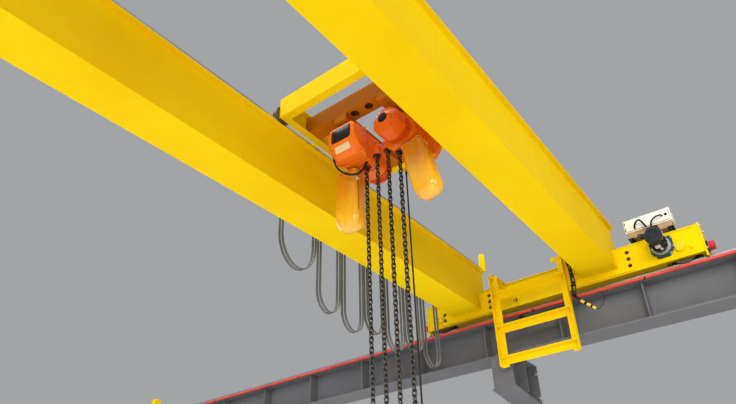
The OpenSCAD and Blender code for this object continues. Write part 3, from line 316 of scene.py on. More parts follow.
class Finish(Enum):
    """Every finish of the crane, by the record's material slot where it has one."""

    YELLOW = Paint("yellow_paint", (0.85, 0.59, 0.002), (0.81, 0.52, 0.001), roughness=0.5, sheen=0.03,
                   chips=0.12)
    ORANGE = Paint("orange_enamel", (0.82, 0.165, 0.006), (0.76, 0.13, 0.005), roughness=0.30,
                   coat=0.12, grime=0.15)
    RED_ORANGE = Paint("red_orange_enamel", (0.76, 0.12, 0.006), (0.66, 0.085, 0.005),
                       roughness=0.32, coat=0.12)
    # Dark orange-brown: on the load beams and hoist bearers it is painted shade, their yellow paint darkened
    # as it looks in shade; the bucket strip and the hook block are painted this brown.
    BROWN_AND_PAINTED_SHADE = Paint("brown_paint_and_painted_shade", (0.47, 0.15, 0.002), (0.40, 0.11, 0.002),
                        roughness=0.5, sheen=0.03)
    GREY = Paint("grey_paint", (0.150, 0.153, 0.168), (0.118, 0.122, 0.136), roughness=0.5, sheen=0.1,
                 dust=(0.30, 0.29, 0.27), chips=0.3, primer=(0.16, 0.07, 0.04))
    # Dark red-brown that fills the joint plates' holes as painted shade, and colours the rings round them.
    HOLE_PAINTED_SHADE = Paint("painted_hole_shade", (0.070, 0.014, 0.009), (0.045, 0.010, 0.007), roughness=0.7)
    DARK = Paint("dark_paint", (0.020, 0.024, 0.028), (0.030, 0.032, 0.034), roughness=0.38,
                 dust=(0.25, 0.24, 0.22))
    TEAL = Paint("gearbox_paint", (0.020, 0.075, 0.070), (0.016, 0.055, 0.054), roughness=0.35,
                 dust=(0.25, 0.24, 0.22))
    IVORY = Paint("ivory_paint", (0.78, 0.75, 0.66), (0.72, 0.68, 0.58), roughness=0.4, grime=0.12)
    # Tan that paints the shade on the ivory cabinet's underside.
    CABINET_PAINTED_SHADE = Paint("cabinet_underside_painted_shade", (0.40, 0.27, 0.15), (0.34, 0.22, 0.12), roughness=0.5)
    RAIL = Bare("rail_steel", (0.56, 0.56, 0.57), (0.22, 0.12, 0.07), 0.45, 0.34, grain=(0.05, 1, 1))
    ZINC = Bare("zinc_steel", (0.60, 0.61, 0.62), (0.45, 0.44, 0.42), 0.4, 0.42)
    WHEEL = Bare("wheel_iron", (0.15, 0.12, 0.10), (0.12, 0.06, 0.035), 0.9, 0.5, 0.8)
    CHAIN = Bare("black_chain", (0.075, 0.070, 0.068), (0.075, 0.035, 0.020), 0.35, 0.27, 0.95,
                 grain_scale=200.0)
    HOOK = Bare("forged_steel", (0.10, 0.10, 0.10), (0.14, 0.08, 0.05), 0.4, 0.45, 0.9)
    RED_HOUSING = Moulded("red_housing", (0.66, 0.055, 0.035), (0.55, 0.04, 0.03), 0.4, coat=0.2)
    BUFFER = Moulded("red_rubber", (0.60, 0.030, 0.030), (0.48, 0.022, 0.024), 0.55)
    # The amber buckets darken towards their tops: painted shade.
    AMBER = Moulded("amber_plastic", (0.92, 0.50, 0.024), (0.88, 0.40, 0.012), 0.28, coat=0.5, glow=0.12,
                    depth=(0.58, 0.93, (0.62, 0.17, 0.003)))
    RUBBER = Moulded("black_rubber", (0.014, 0.014, 0.015), (0.022, 0.021, 0.020), 0.55, sheen=0.2)
    INSULATOR = Moulded("carbon_black", (0.010, 0.010, 0.011), (0.016, 0.015, 0.015), 0.6, sheen=0.08)
    FLAT_CABLE = Moulded("grey_rubber", (0.105, 0.105, 0.100), (0.075, 0.075, 0.072), 0.5)
    STATION = Moulded("yellow_plastic", (0.86, 0.54, 0.010), (0.80, 0.47, 0.008), 0.45)
    GLOSS_BLACK = Moulded("plate_black", (0.008, 0.008, 0.009), (0.012, 0.012, 0.013), 0.3,
                          coat=0.15, sheen=0.2)
    PALE_PLATE = Moulded("plate_pale", (0.74, 0.60, 0.40), (0.70, 0.54, 0.34), 0.4)
    # Silver: the station's button caps and the travel motors' bolts and eye are silver; the plates on the
    # travel motors are painted glints.
    SILVER_AND_PAINTED_GLINT = Moulded("plate_silver", (0.60, 0.60, 0.58), (0.52, 0.52, 0.50), 0.35)
    FLOOR = Moulded("studio_floor", (0.74, 0.73, 0.70), (0.70, 0.69, 0.66), 0.7)
    RED_BUTTON = Moulded("button_red", (0.70, 0.02, 0.015), (0.62, 0.02, 0.015), 0.3, coat=0.4)

    @property
    def slot(self) -> str:
        """Returns: the finish's name."""
        return self.value.name


class Palette:
    """Makes each material once."""

    def __init__(self) -> None:
        """Starts with no materials."""
        self._made: dict[Finish, bpy.types.Material] = {}

    def get(self, finish: Finish) -> bpy.types.Material:
        """Returns: the material of a finish."""
        if finish not in self._made:
            self._made[finish] = finish.value.build()
        return self._made[finish]


PALETTE = Palette()
# The load beams and hoist bearers get the dark orange-brown that paints their yellow paint in shade.
NODE_FINISH: dict[str, Finish] = {"load_beams": Finish.BROWN_AND_PAINTED_SHADE, "hoist_bearers": Finish.BROWN_AND_PAINTED_SHADE}


def dress_nodes() -> None:
    """Gives every CAD node the finish of its slot, but the load beams and hoist bearers the dark orange-brown
    that paints in their shade.
    """
    by_slot = {f.slot: f for f in Finish}
    slots = {part["node"]: part["material_slot"] for part in frame["record"]["subparts"]}
    for name, node in frame["nodes"].items():
        finish = NODE_FINISH.get(name, by_slot[slots[name]])
        node.data.materials.clear()
        node.data.materials.append(PALETTE.get(finish))
    LOG.info("dressed %d nodes", len(frame["nodes"]))


# Studio


@dataclass(frozen=True)
class Camera:
    """The photograph's camera, solved from the girder and truck edges."""

    at: Point = (-6.10435, -2.51988, -1.81579)
    right: Point = (0.598220, -0.800617, -0.033823)
    down: Point = (0.392606, 0.329627, -0.858608)
    ahead: Point = (0.698565, 0.500358, 0.511516)
    focal_px: float = 602.48
    shift: Flat = (-0.01827, 0.04154)
    sensor: float = 36.0

    def make(self) -> bpy.types.Object:
        """Returns: the scene's camera."""
        data = bpy.data.cameras.new("photo_camera")
        data.sensor_fit = "HORIZONTAL"
        data.sensor_width = self.sensor
        data.lens = self.focal_px / PHOTO_WIDTH * self.sensor
        data.shift_x, data.shift_y = self.shift
        data.clip_start, data.clip_end = 0.05, 200.0
        camera = bpy.data.objects.new("photo_camera", data)
        columns = (Vector(self.right), -Vector(self.down), -Vector(self.ahead))
        turn = Matrix([[columns[c][r] for c in range(3)] for r in range(3)])
        camera.matrix_world = Matrix.Translation(Vector(self.at)) @ turn.to_4x4()
        bpy.context.scene.collection.objects.link(camera)
        bpy.context.scene.camera = camera
        return camera


@dataclass(frozen=True)
class Lamp:
    """One soft light: a square of a size in metres or, where it is far, a sun of an angle in degrees."""

    name: str
    at: Point
    towards: Point
    size: float
    power: float
    colour: Colour = (1.0, 1.0, 1.0)
    far: bool = False

    def make(self) -> None:
        """Adds the light."""
        if self.far:
            data = bpy.data.lights.new(self.name, "SUN")
            data.angle = math.radians(self.size)
        else:
            data = bpy.data.lights.new(self.name, "AREA")
            data.shape = "SQUARE"
            data.size = self.size
        data.energy = self.power
        data.color = self.colour
        lamp = bpy.data.objects.new(self.name, data)
        lamp.location = self.at
        lamp.rotation_mode = "QUATERNION"
        lamp.rotation_quaternion = (Vector(self.towards) - Vector(self.at)).to_track_quat("-Z", "Y")
        lamp.visible_camera = False
        bpy.context.scene.collection.objects.link(lamp)


@dataclass(frozen=True)
class Studio:
    """Floor, ambient light and soft lamps."""

    floor_z: float = -4680.0
    floor_size: float = 60000.0
    middle: Flat = (-5000.0, 0.0)
    sky: Colour = (0.86, 0.88, 0.90)
    ambient: float = 0.42
    lamps: tuple[Lamp, ...] = (
        Lamp("under_soft", (-4.5, 0.0, -3.0), (-4.5, 0.0, 3.0), 14.0, 400.0, (1.0, 0.985, 0.95)),
        Lamp("near_soft", (-17.0, -5.0, 1.7), (-3.0, 0.5, 0.9), 36.0, 2.5, (1.0, 0.98, 0.94), far=True),
        Lamp("left_soft", (-3.0, 17.0, 2.2), (-5.0, 0.0, 0.9), 36.0, 1.2, far=True),
        Lamp("right_soft", (-5.0, -9.5, 0.9), (-5.0, -1.0, 1.0), 3.5, 210.0, (1.0, 0.98, 0.94)),
        Lamp("top_soft", (-4.0, 2.0, 9.0), (-5.0, 0.0, 0.0), 9.0, 900.0),
    )

    def make(self) -> None:
        """Builds the studio."""
        scene = bpy.context.scene
        scene.view_settings.view_transform = "Standard"
        world = bpy.data.worlds.new("studio")
        world.use_nodes = True
        back = world.node_tree.nodes["Background"]
        back.inputs["Color"].default_value = (*self.sky, 1.0)
        back.inputs["Strength"].default_value = self.ambient
        scene.world = world
        for lamp in self.lamps:
            lamp.make()
        half = self.floor_size / 2
        corners = [(self.middle[0] + a * half, self.middle[1] + b * half) for a, b in
                   ((-1, -1), (1, -1), (1, 1), (-1, 1))]
        Shape().sheet(corners, "Z", self.floor_z).finish("studio_floor", Finish.FLOOR)


# Mesh building


SPREAD: dict[Axis, tuple[int, int, int]] = {"X": (1, 2, 0), "Y": (0, 2, 1), "Z": (0, 1, 2)}
UPRIGHT: dict[Axis, Matrix] = {
    "X": Matrix.Rotation(math.pi / 2, 4, "Y"), "Y": Matrix.Rotation(-math.pi / 2, 4, "X"),
    "Z": Matrix.Identity(4)}


def on_axis(axis: Axis, a: float, b: float, t: float) -> Vector:
    """Returns: the point at (a, b) across an axis and t along it."""
    first, second, along = SPREAD[axis]
    point = Vector((0.0, 0.0, 0.0))
    point[first], point[second], point[along] = a, b, t
    return point


def smooth_route(points: Sequence[Sequence[float]], step: float) -> list[Vector]:
    """Returns: points about step apart along a smooth curve through the given ones."""
    route = [Vector(p) for p in points]
    ends = [route[0] * 2 - route[1], *route, route[-1] * 2 - route[-2]]
    line: list[Vector] = []
    for k in range(1, len(ends) - 2):
        a, b, c, d = ends[k - 1:k + 3]
        count = max(1, round((c - b).length / step))
        for i in range(count):
            t = i / count
            line.append(0.5 * (2 * b + (c - a) * t + (2 * a - 5 * b + 4 * c - d) * t ** 2
                               + (3 * b - a - 3 * c + d) * t ** 3))
    return [*line, route[-1]]


def rounded(a0: float, a1: float, b0: float, b1: float, radius: float, steps: int = 4) -> list[Flat]:
    """Returns: the outline of a rectangle with round corners, anticlockwise."""
    outline = []
    for corner, (ca, cb) in enumerate(((a1 - radius, b1 - radius), (a0 + radius, b1 - radius),
                                       (a0 + radius, b0 + radius), (a1 - radius, b0 + radius))):
        for i in range(steps + 1):
            angle = math.pi / 2 * (corner + i / steps)
            outline.append((ca + radius * math.cos(angle), cb + radius * math.sin(angle)))
    return outline


def chamfered(a0: float, a1: float, b0: float, b1: float, cut: float) -> list[Flat]:
    """Returns: the outline of a rectangle with cut corners."""
    return rounded(a0, a1, b0, b1, cut, 1)


def round_outline(radius: float, count: int, phase: float = 0.0) -> list[Flat]:
    """Returns: the points of a regular outline."""
    return [(radius * math.cos(2 * math.pi * (k + phase) / count),
             radius * math.sin(2 * math.pi * (k + phase) / count))
            for k in range(count)]


class Shape:
    """A mesh under construction, in crane millimetres."""

    def __init__(self, turn: Optional[Matrix] = None) -> None:
        """Args:
            turn: a movement applied to all that is added.
        """
        self.bm = bmesh.new()
        self.turn = turn or Matrix.Identity(4)
        self.spare = bpy.data.meshes.new("spare")

    def _join(self, part: bmesh.types.BMesh, bevel: float = 0.0, segments: int = 2) -> "Shape":
        """Softens the sharp edges of a part and joins it to the shape.

        Args:
            part: the part, which is used up.
            bevel: how far its sharp edges are rounded.
            segments: faces across a rounded edge.

        Returns:
            The shape.
        """
        if bevel:
            bmesh.ops.recalc_face_normals(part, faces=part.faces)
            sharp = [edge for edge in part.edges if edge.is_manifold and edge.calc_face_angle(0.0) > SHARP]
            bmesh.ops.bevel(part, geom=sharp, offset=bevel, segments=segments, profile=0.5, affect="EDGES",
                            clamp_overlap=True, material=-1)
        bmesh.ops.transform(part, matrix=self.turn, verts=part.verts)
        part.to_mesh(self.spare)
        part.free()
        self.bm.from_mesh(self.spare)
        return self

    def sheet(self, corners: Sequence[Flat], axis: Axis, at: float) -> "Shape":
        """Adds one flat face across an axis."""
        part = bmesh.new()
        part.faces.new([part.verts.new(on_axis(axis, a, b, at)) for a, b in corners])
        return self._join(part)

    def box(self, low: Point, high: Point, bevel: float = 0.0) -> "Shape":
        """Adds a block with rounded edges."""
        part = bmesh.new()
        size = Vector(high) - Vector(low)
        middle = (Vector(high) + Vector(low)) / 2
        bmesh.ops.create_cube(part, size=1.0,
                              matrix=Matrix.Translation(middle) @ Matrix.Diagonal((*size, 1.0)))
        return self._join(part, bevel)

    def prism(self, outline: Sequence[Flat], axis: Axis, start: float, end: float,
              bevel: float = 0.0) -> "Shape":
        """Adds an outline drawn out along an axis."""
        part = bmesh.new()
        face = part.faces.new([part.verts.new(on_axis(axis, a, b, start)) for a, b in outline])
        drawn = bmesh.ops.extrude_face_region(part, geom=[face])
        far = [item for item in drawn["geom"] if isinstance(item, bmesh.types.BMVert)]
        bmesh.ops.translate(part, vec=on_axis(axis, 0, 0, end - start), verts=far)
        return self._join(part, bevel)

    @staticmethod
    def _bridged(rings: Sequence[Sequence[Sequence[float]]], caps: bool, closed: bool) -> bmesh.types.BMesh:
        """Returns: a part whose skin joins rings of points in their order."""
        part = bmesh.new()
        made = [[part.verts.new(p) for p in ring] for ring in rings]
        loops = [[part.edges.new((ring[k - 1], ring[k])) for k in range(len(ring))] for ring in made]
        pairs = list(zip(loops, loops[1:])) + ([(loops[-1], loops[0])] if closed else [])
        for low, high in pairs:
            bmesh.ops.bridge_loops(part, edges=[*low, *high])
        if caps and not closed:
            part.faces.new(made[0])
            part.faces.new(made[-1])
        return part

    def loft(self, rings: Sequence[Sequence[Sequence[float]]], caps: bool = True, bevel: float = 0.0,
             closed: bool = False) -> "Shape":
        """Joins rings of points into a skin.

        Args:
            rings: the rings, each with as many points.
            caps: whether the first and last ring are closed.
            bevel: how far the sharp edges are rounded.
            closed: whether the last ring joins the first one.

        Returns:
            The shape.
        """
        return self._join(self._bridged(rings, caps, closed), bevel)

    def lathe(self, profile: Sequence[Flat], centre: Point, axis: Axis, steps: int = 40) -> "Shape":
        """Turns a profile of (radius, place along the axis) round an axis.

        Args:
            profile: the points; a profile that ends where it starts makes a ring.
            centre: the place of the axis.
            axis: its direction.
            steps: faces round the axis.

        Returns:
            The shape.
        """
        part = bmesh.new()
        points = list(profile)
        whole = points[0] == points[-1]
        if not whole:
            points = [(0.0, points[0][1]), *points, (0.0, points[-1][1])]
        verts = [part.verts.new(on_axis(axis, r, 0.0, t)) for r, t in (points[:-1] if whole else points)]
        edges = [part.edges.new(pair) for pair in zip(verts, verts[1:])]
        if whole:
            edges.append(part.edges.new((verts[-1], verts[0])))
        bmesh.ops.spin(part, geom=[*verts, *edges], cent=(0, 0, 0), axis=on_axis(axis, 0, 0, 1),
                       angle=2 * math.pi, steps=steps, use_merge=True)
        bmesh.ops.remove_doubles(part, verts=part.verts, dist=0.001)
        bmesh.ops.translate(part, vec=centre, verts=part.verts)
        return self._join(part)

    def disc(self, centre: Point, axis: Axis, radius: float, start: float, end: float, bevel: float = 1.0,
             steps: int = 32) -> "Shape":
        """Adds a round plate or bar with softened rims, from start to end along the axis."""
        part = bmesh.new()
        middle = Vector(centre) + on_axis(axis, 0, 0, (start + end) / 2)
        bmesh.ops.create_cone(part, cap_ends=True, segments=steps, radius1=radius, radius2=radius,
                              depth=abs(end - start), matrix=Matrix.Translation(middle) @ UPRIGHT[axis])
        return self._join(part, bevel, 1)

    def tube(self, points: Sequence[Sequence[float]], radius: "float | Sequence[float]", steps: int = 10,
             step: float = 14.0, smooth: bool = True, closed: bool = False) -> "Shape":
        """Adds a round bar along a route.

        Args:
            points: the route.
            radius: the bar's radius, or one radius for each point of a route that isn't smoothed.
            steps: faces round the bar.
            step: distance between rings of a smoothed route.
            smooth: whether the route is smoothed.
            closed: whether its end joins its start.

        Returns:
            The shape.
        """
        line = smooth_route(points, step) if smooth else [Vector(p) for p in points]
        last = len(line) - 1
        across = (line[1] - line[0]).orthogonal().normalized()
        rings = []
        for k, point in enumerate(line):
            after = line[(k + 1) % len(line)] if closed else line[min(k + 1, last)]
            before = line[k - 1] if closed else line[max(k - 1, 0)]
            ahead = (after - before).normalized()
            across = (across - ahead * across.dot(ahead)).normalized()
            up = ahead.cross(across)
            r = radius[k] if isinstance(radius, Sequence) else radius
            rings.append([point + a * across + b * up for a, b in round_outline(r, steps)])
        return self.loft(rings, closed=closed)

    def bolt(self, at: Point, axis: Axis, out: int, across: float = 24.0, height: float = 10.0) -> "Shape":
        """Adds a hexagon head on a washer that stands out from a face."""
        washer = across * 0.125
        self.disc(at, axis, across * 0.72, 0.0, washer * out, 0.0, 18)
        self.disc(at, axis, across * 0.56, washer * out * 0.9, (washer + height) * out, across * 0.05, 6)
        return self

    def bolts(self, places: Iterable[Point], axis: Axis, out: int, across: float = 24.0,
              height: float = 10.0) -> "Shape":
        """Adds a bolt at each place."""
        for at in places:
            self.bolt(at, axis, out, across, height)
        return self

    def copies(self, part: bmesh.types.BMesh, moves: Iterable[Matrix]) -> "Shape":
        """Adds a part again and again, and uses it up."""
        for move in moves:
            twin = part.copy()
            bmesh.ops.transform(twin, matrix=move, verts=twin.verts)
            self._join(twin)
        part.free()
        return self

    def finish(self, name: str, finish: Finish, body: Optional[str] = None, replaces: Sequence[str] = (),
               smooth: float = 35.0, near: bool = False) -> bpy.types.Object:
        """Makes the shape an object at the origin.

        Args:
            name: the piece's name.
            finish: its material.
            body: the CAD body it rides on, or None for the stage.
            replaces: the CAD nodes that it stands for.
            smooth: the angle in degrees below which faces are shaded as one.
            near: whether the piece is mirrored to the near end of the bridge.

        Returns:
            The finished object.
        """
        move = Matrix.Translation(-ORIGIN) @ Matrix.Scale(0.001, 4)
        if near:
            move = move @ Matrix.Translation((NEAR_FACE, 0, 0)) @ Matrix.Scale(-1, 4, (1, 0, 0))
        bmesh.ops.transform(self.bm, matrix=move, verts=self.bm.verts)
        bmesh.ops.recalc_face_normals(self.bm, faces=self.bm.faces)
        mesh = bpy.data.meshes.new(name)
        self.bm.to_mesh(mesh)
        self.bm.free()
        bpy.data.meshes.remove(self.spare)
        mesh.materials.append(PALETTE.get(finish))
        mesh.polygons.foreach_set("use_smooth", [True] * len(mesh.polygons))
        mesh.set_sharp_from_angle(angle=math.radians(smooth))
        made = bpy.data.objects.new(name, mesh)
        bpy.context.scene.collection.objects.link(made)
        if body:
            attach(made, body)
        if replaces:
            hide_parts(*replaces)
        LOG.info("%s: %d faces", name, len(mesh.polygons))
        return made


class Assembly:
    """Pieces that ride on one body."""

    body: str = "trolley"

    def piece(self, shape: Shape, name: str, finish: Finish, **how: object) -> bpy.types.Object:
        """Finishes a shape as a piece of this assembly.

        Args:
            shape: the mesh.
            name: the piece's name.
            finish: its material.
            how: further arguments of Shape.finish.

        Returns:
            The piece.
        """
        return shape.finish(name, finish, self.body, **how)


# Cords


@dataclass
class Pendant(Assembly):
    """The pendant cable that hangs from the trolley, with its push-button station."""

    x: float = -1974.0
    y: float = 180.0
    top: float = 30.0
    drop: float = 2300.0
    held: float = 230.0
    radius: float = 7.0
    half_x: float = 32.0
    half_y: float = 42.0
    height: float = 330.0
    buttons: int = 5

    def station(self) -> list[bpy.types.Object]:
        """Returns: the pieces of the station, which hangs on the cable's end."""
        mouth = self.top - self.drop
        roof = mouth - 40.0
        floor = roof - self.height
        rings = []
        for z, inset, radius in ((roof, 9, 10), (roof - 4, 4, 14), (roof - 14, 0, 16), (roof - 60, 0, 16),
                                 (floor + 26, 0, 16), (floor + 8, 3, 14), (floor, 10, 10)):
            rings.append([(self.x + a, self.y + b, z) for a, b in rounded(
                inset - self.half_x, self.half_x - inset, inset - self.half_y, self.half_y - inset, radius)])
        body = Shape().loft(rings, bevel=1.0)
        for side in (-1, 1):
            for k in range(9):
                z = roof - 50 - k * 30
                body.box((self.x - 16, self.y + side * 41 - 1.4, z - 9),
                         (self.x + 16, self.y + side * 41 + 1.4, z), 1)
        front = self.x - self.half_x
        made = [self.piece(body, "station_body", Finish.STATION, replaces=["pendant_station"])]
        panel = Shape().prism(rounded(self.y - 30, self.y + 30, floor + 22, roof - 16, 12), "X", front - 2.5,
                              front + 3, bevel=0.8)
        places = [roof - 40 - k * 52 for k in range(self.buttons)]
        for z in places:
            panel.lathe([(13.5, -6), (16.5, -6), (18, -4), (18, 4), (13.5, 4), (13.5, -6)],
                        (front - 2.5, self.y, z), "X", 32)
        made.append(self.piece(panel, "station_panel", Finish.INSULATOR))
        caps, stop = Shape(), Shape()
        for k, z in enumerate(places):
            if k:
                caps.lathe([(13, 4), (13, -6), (11, -8.5), (6, -9.6), (0.1, -10)],
                           (front - 2.5, self.y, z), "X", 28)
            else:
                stop.lathe([(9, 4), (9, -6), (19, -7), (20, -9), (18, -12), (10, -14), (0.1, -14.5)],
                           (front - 2.5, self.y, z), "X", 36)
        made.append(self.piece(caps, "station_buttons", Finish.SILVER_AND_PAINTED_GLINT))
        made.append(self.piece(stop, "station_stop_button", Finish.RED_BUTTON))
        screws = Shape()
        for side in (-1, 1):
            for z in (roof - 26, floor + 32):
                screws.lathe([(4, 1), (4, -1.5), (2.5, -2.6), (0.1, -2.8)],
                             (front - 2.4, self.y + side * 24, z), "X", 14)
        made.append(self.piece(screws, "station_screws", Finish.ZINC))
        boot = [(self.radius + 0.2, 0)]
        for k in range(4):
            boot += [(9 + k * 2, -2 - k * 9), (9 + k * 2, -7 - k * 9), (8 + k * 2, -8 - k * 9)]
        boot += [(17, -38), (17, -42), (self.radius + 0.2, -42), (self.radius + 0.2, 0)]
        made.append(self.piece(Shape().lathe(boot, (self.x, self.y, mouth), "Z", 28), "station_boot",
                               Finish.RUBBER))
        return made

    def build(self) -> None:
        length = self.drop + self.held
        count = 24
        route = [(self.x, self.y, self.top - length * k / count) for k in range(count + 1)]
        cable = self.piece(Shape().tube(route, self.radius, 14, smooth=False), "pendant_hose", Finish.RUBBER,
                           replaces=["pendant_cable"])
        relief = [(7.3, 6), (13, 6), (13, -4), (11.5, -6), (11.5, -14), (10, -16), (8.2, -48),
                  (7.3, -48), (7.3, 6)]
        self.piece(Shape().lathe(relief, route[0], "Z", 24), "pendant_relief", Finish.RUBBER)
        nut = Shape().disc(route[0], "Z", 17, -3, -13, 1.2, 6)
        self.piece(nut, "pendant_gland_nut", Finish.ZINC)
        self.station()


@dataclass
class Festoon(Assembly):
    """The two flat cables that hang in loops between the carriers."""

    tow_x: float = -2635.0
    carrier_x: tuple[float, ...] = (-2160.0, -1828.333, -1496.667, -1165.0, -833.333, -501.667)
    end_x: float = -170.0
    track_y: float = 1050.0
    saddle_z: float = -200.0
    turn_r: float = 33.7
    cable_side: float = 17.0
    width: float = 24.0
    thick: float = 6.0
    drop: float = 60.0
    seam: float = 0.4
    depths: tuple[float, ...] = (608.0, 874.0, 950.0, 874.0, 950.0, 874.0, 950.0)

    def half_line(self, span: float, depth: float) -> list[Flat]:
        """Returns: half of a hanging loop, from below a saddle down to the lowest point."""
        r, bend = self.turn_r, span / 2 - self.turn_r
        deep = bend * 1.35
        top = self.drop + self.seam
        fall = [(r, -top - (depth - deep - top) * k / 8) for k in range(8)]
        bottom = [(r + bend - bend * math.cos(a), deep - depth - deep * math.sin(a))
                  for a in (math.pi / 2 * k / 10 for k in range(11))]
        return [*fall, *bottom]

    def strands(self, line: Sequence[Flat]) -> Shape:
        """Returns: both cables along a line of X and of Z below the saddles."""
        section = rounded(-self.width / 2, self.width / 2, -self.thick / 2, self.thick / 2, 2.6, 2)
        shape = Shape()
        for side in (-1, 1):
            rings = []
            for k, (x, z) in enumerate(line):
                (xa, za), (xb, zb) = line[max(k - 1, 0)], line[min(k + 1, len(line) - 1)]
                length = math.hypot(xb - xa, zb - za)
                nx, nz = -(zb - za) / length, (xb - xa) / length
                rings.append([(x + b * nx, self.track_y + side * self.cable_side + a,
                               self.saddle_z + z + b * nz)
                              for a, b in section])
            shape.loft(rings)
        return shape

    @staticmethod
    def share(part: float) -> float:
        """Returns: the place between 0 and 1 where a smooth step reaches a share."""
        return 0.5 - math.sin(math.asin(1.0 - 2.0 * part) / 3.0)

    @property
    def holders(self) -> list[tuple[float, str]]:
        """Returns: the place along the track and the body of each saddle."""
        carriers = [(x, f"carrier_{k + 1}") for k, x in enumerate(self.carrier_x)]
        return [(self.tow_x, "trolley"), *carriers, (self.end_x, "bridge")]

    def build(self) -> None:
        """Builds the cable over each saddle, and the loops that stretch from the trolley to the bridge."""
        places = [x for x, _ in self.holders]
        count, r = len(places) - 1, self.turn_r
        for k, (x, body) in enumerate(self.holders):
            turns = [math.pi / 2 * i / 7 for i in range(0 if k == 0 else -7, 1 if k == count else 8)]
            line = [(x + r * math.sin(a), r * math.cos(a)) for a in turns]
            if k > 0:
                line.insert(0, (x - r, -self.drop))
            if k < count:
                line.append((x + r, -self.drop))
            self.strands(line).finish(f"festoon_saddle_{k + 1}", Finish.FLAT_CABLE, body)
        for i, (start, end) in enumerate(zip(places, places[1:])):
            half = self.half_line(end - start, self.depths[i])
            line = [(start + x, z) for x, z in half] + [(end - x, z) for x, z in reversed(half[:-1])]
            loop = self.strands(line).finish(f"festoon_loop_{i + 1}", Finish.FLAT_CABLE, None,
                                             replaces=["festoon_cable"])
            low, high = self.share(i / count), self.share((i + 1) / count)
            reach = (end - start - 2 * r) / (high - low)
            first = start + r - low * reach
            tuple(place(first + reach, self.track_y, self.saddle_z))
            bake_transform(loop)
        self.clamps()

    def clamps(self) -> None:
        """Builds the clamp plate over the cables at each saddle."""
        top = self.saddle_z + self.turn_r + self.thick / 2 + self.seam
        for k, (x, body) in enumerate(self.holders):
            shape = Shape()
            for side in (-1, 1):
                y = self.track_y + side * self.cable_side
                shape.box((x - 16, y - 13.4, top), (x + 16, y + 13.4, top + 4), 1)
                shape.bolt((x, y + side * 8, top + 4), "Z", 1, 9, 5)
            shape.finish(f"saddle_clamp_{k + 1}", Finish.ZINC, body)


@dataclass
class CarrierTrim(Assembly):
    """Roller caps and bolts of one cable carrier."""

    number: int
    x: float
    track_y: float = 1050.0

    def build(self) -> None:
        """Builds the trim."""
        self.body = f"carrier_{self.number}"
        shape = Shape()
        for dx in (-30, 30):
            for side in (-1, 1):
                shape.bolt((self.x + dx, self.track_y + side * 3.1, -131), "Y", side, 9, 4)
        for side in (-1, 1):
            shape.lathe([(27, 0), (30, 0), (33, 1.5), (33, 3), (27, 3), (27, 0)],
                        (self.x, self.track_y + side * 31.6 - 1.5, -200), "Y", 32)
            shape.bolt((self.x, self.track_y + side * 30.1, -200), "Y", side, 16, 6)
        self.piece(shape, f"carrier_trim_{self.number}", Finish.ZINC)


# Hoists


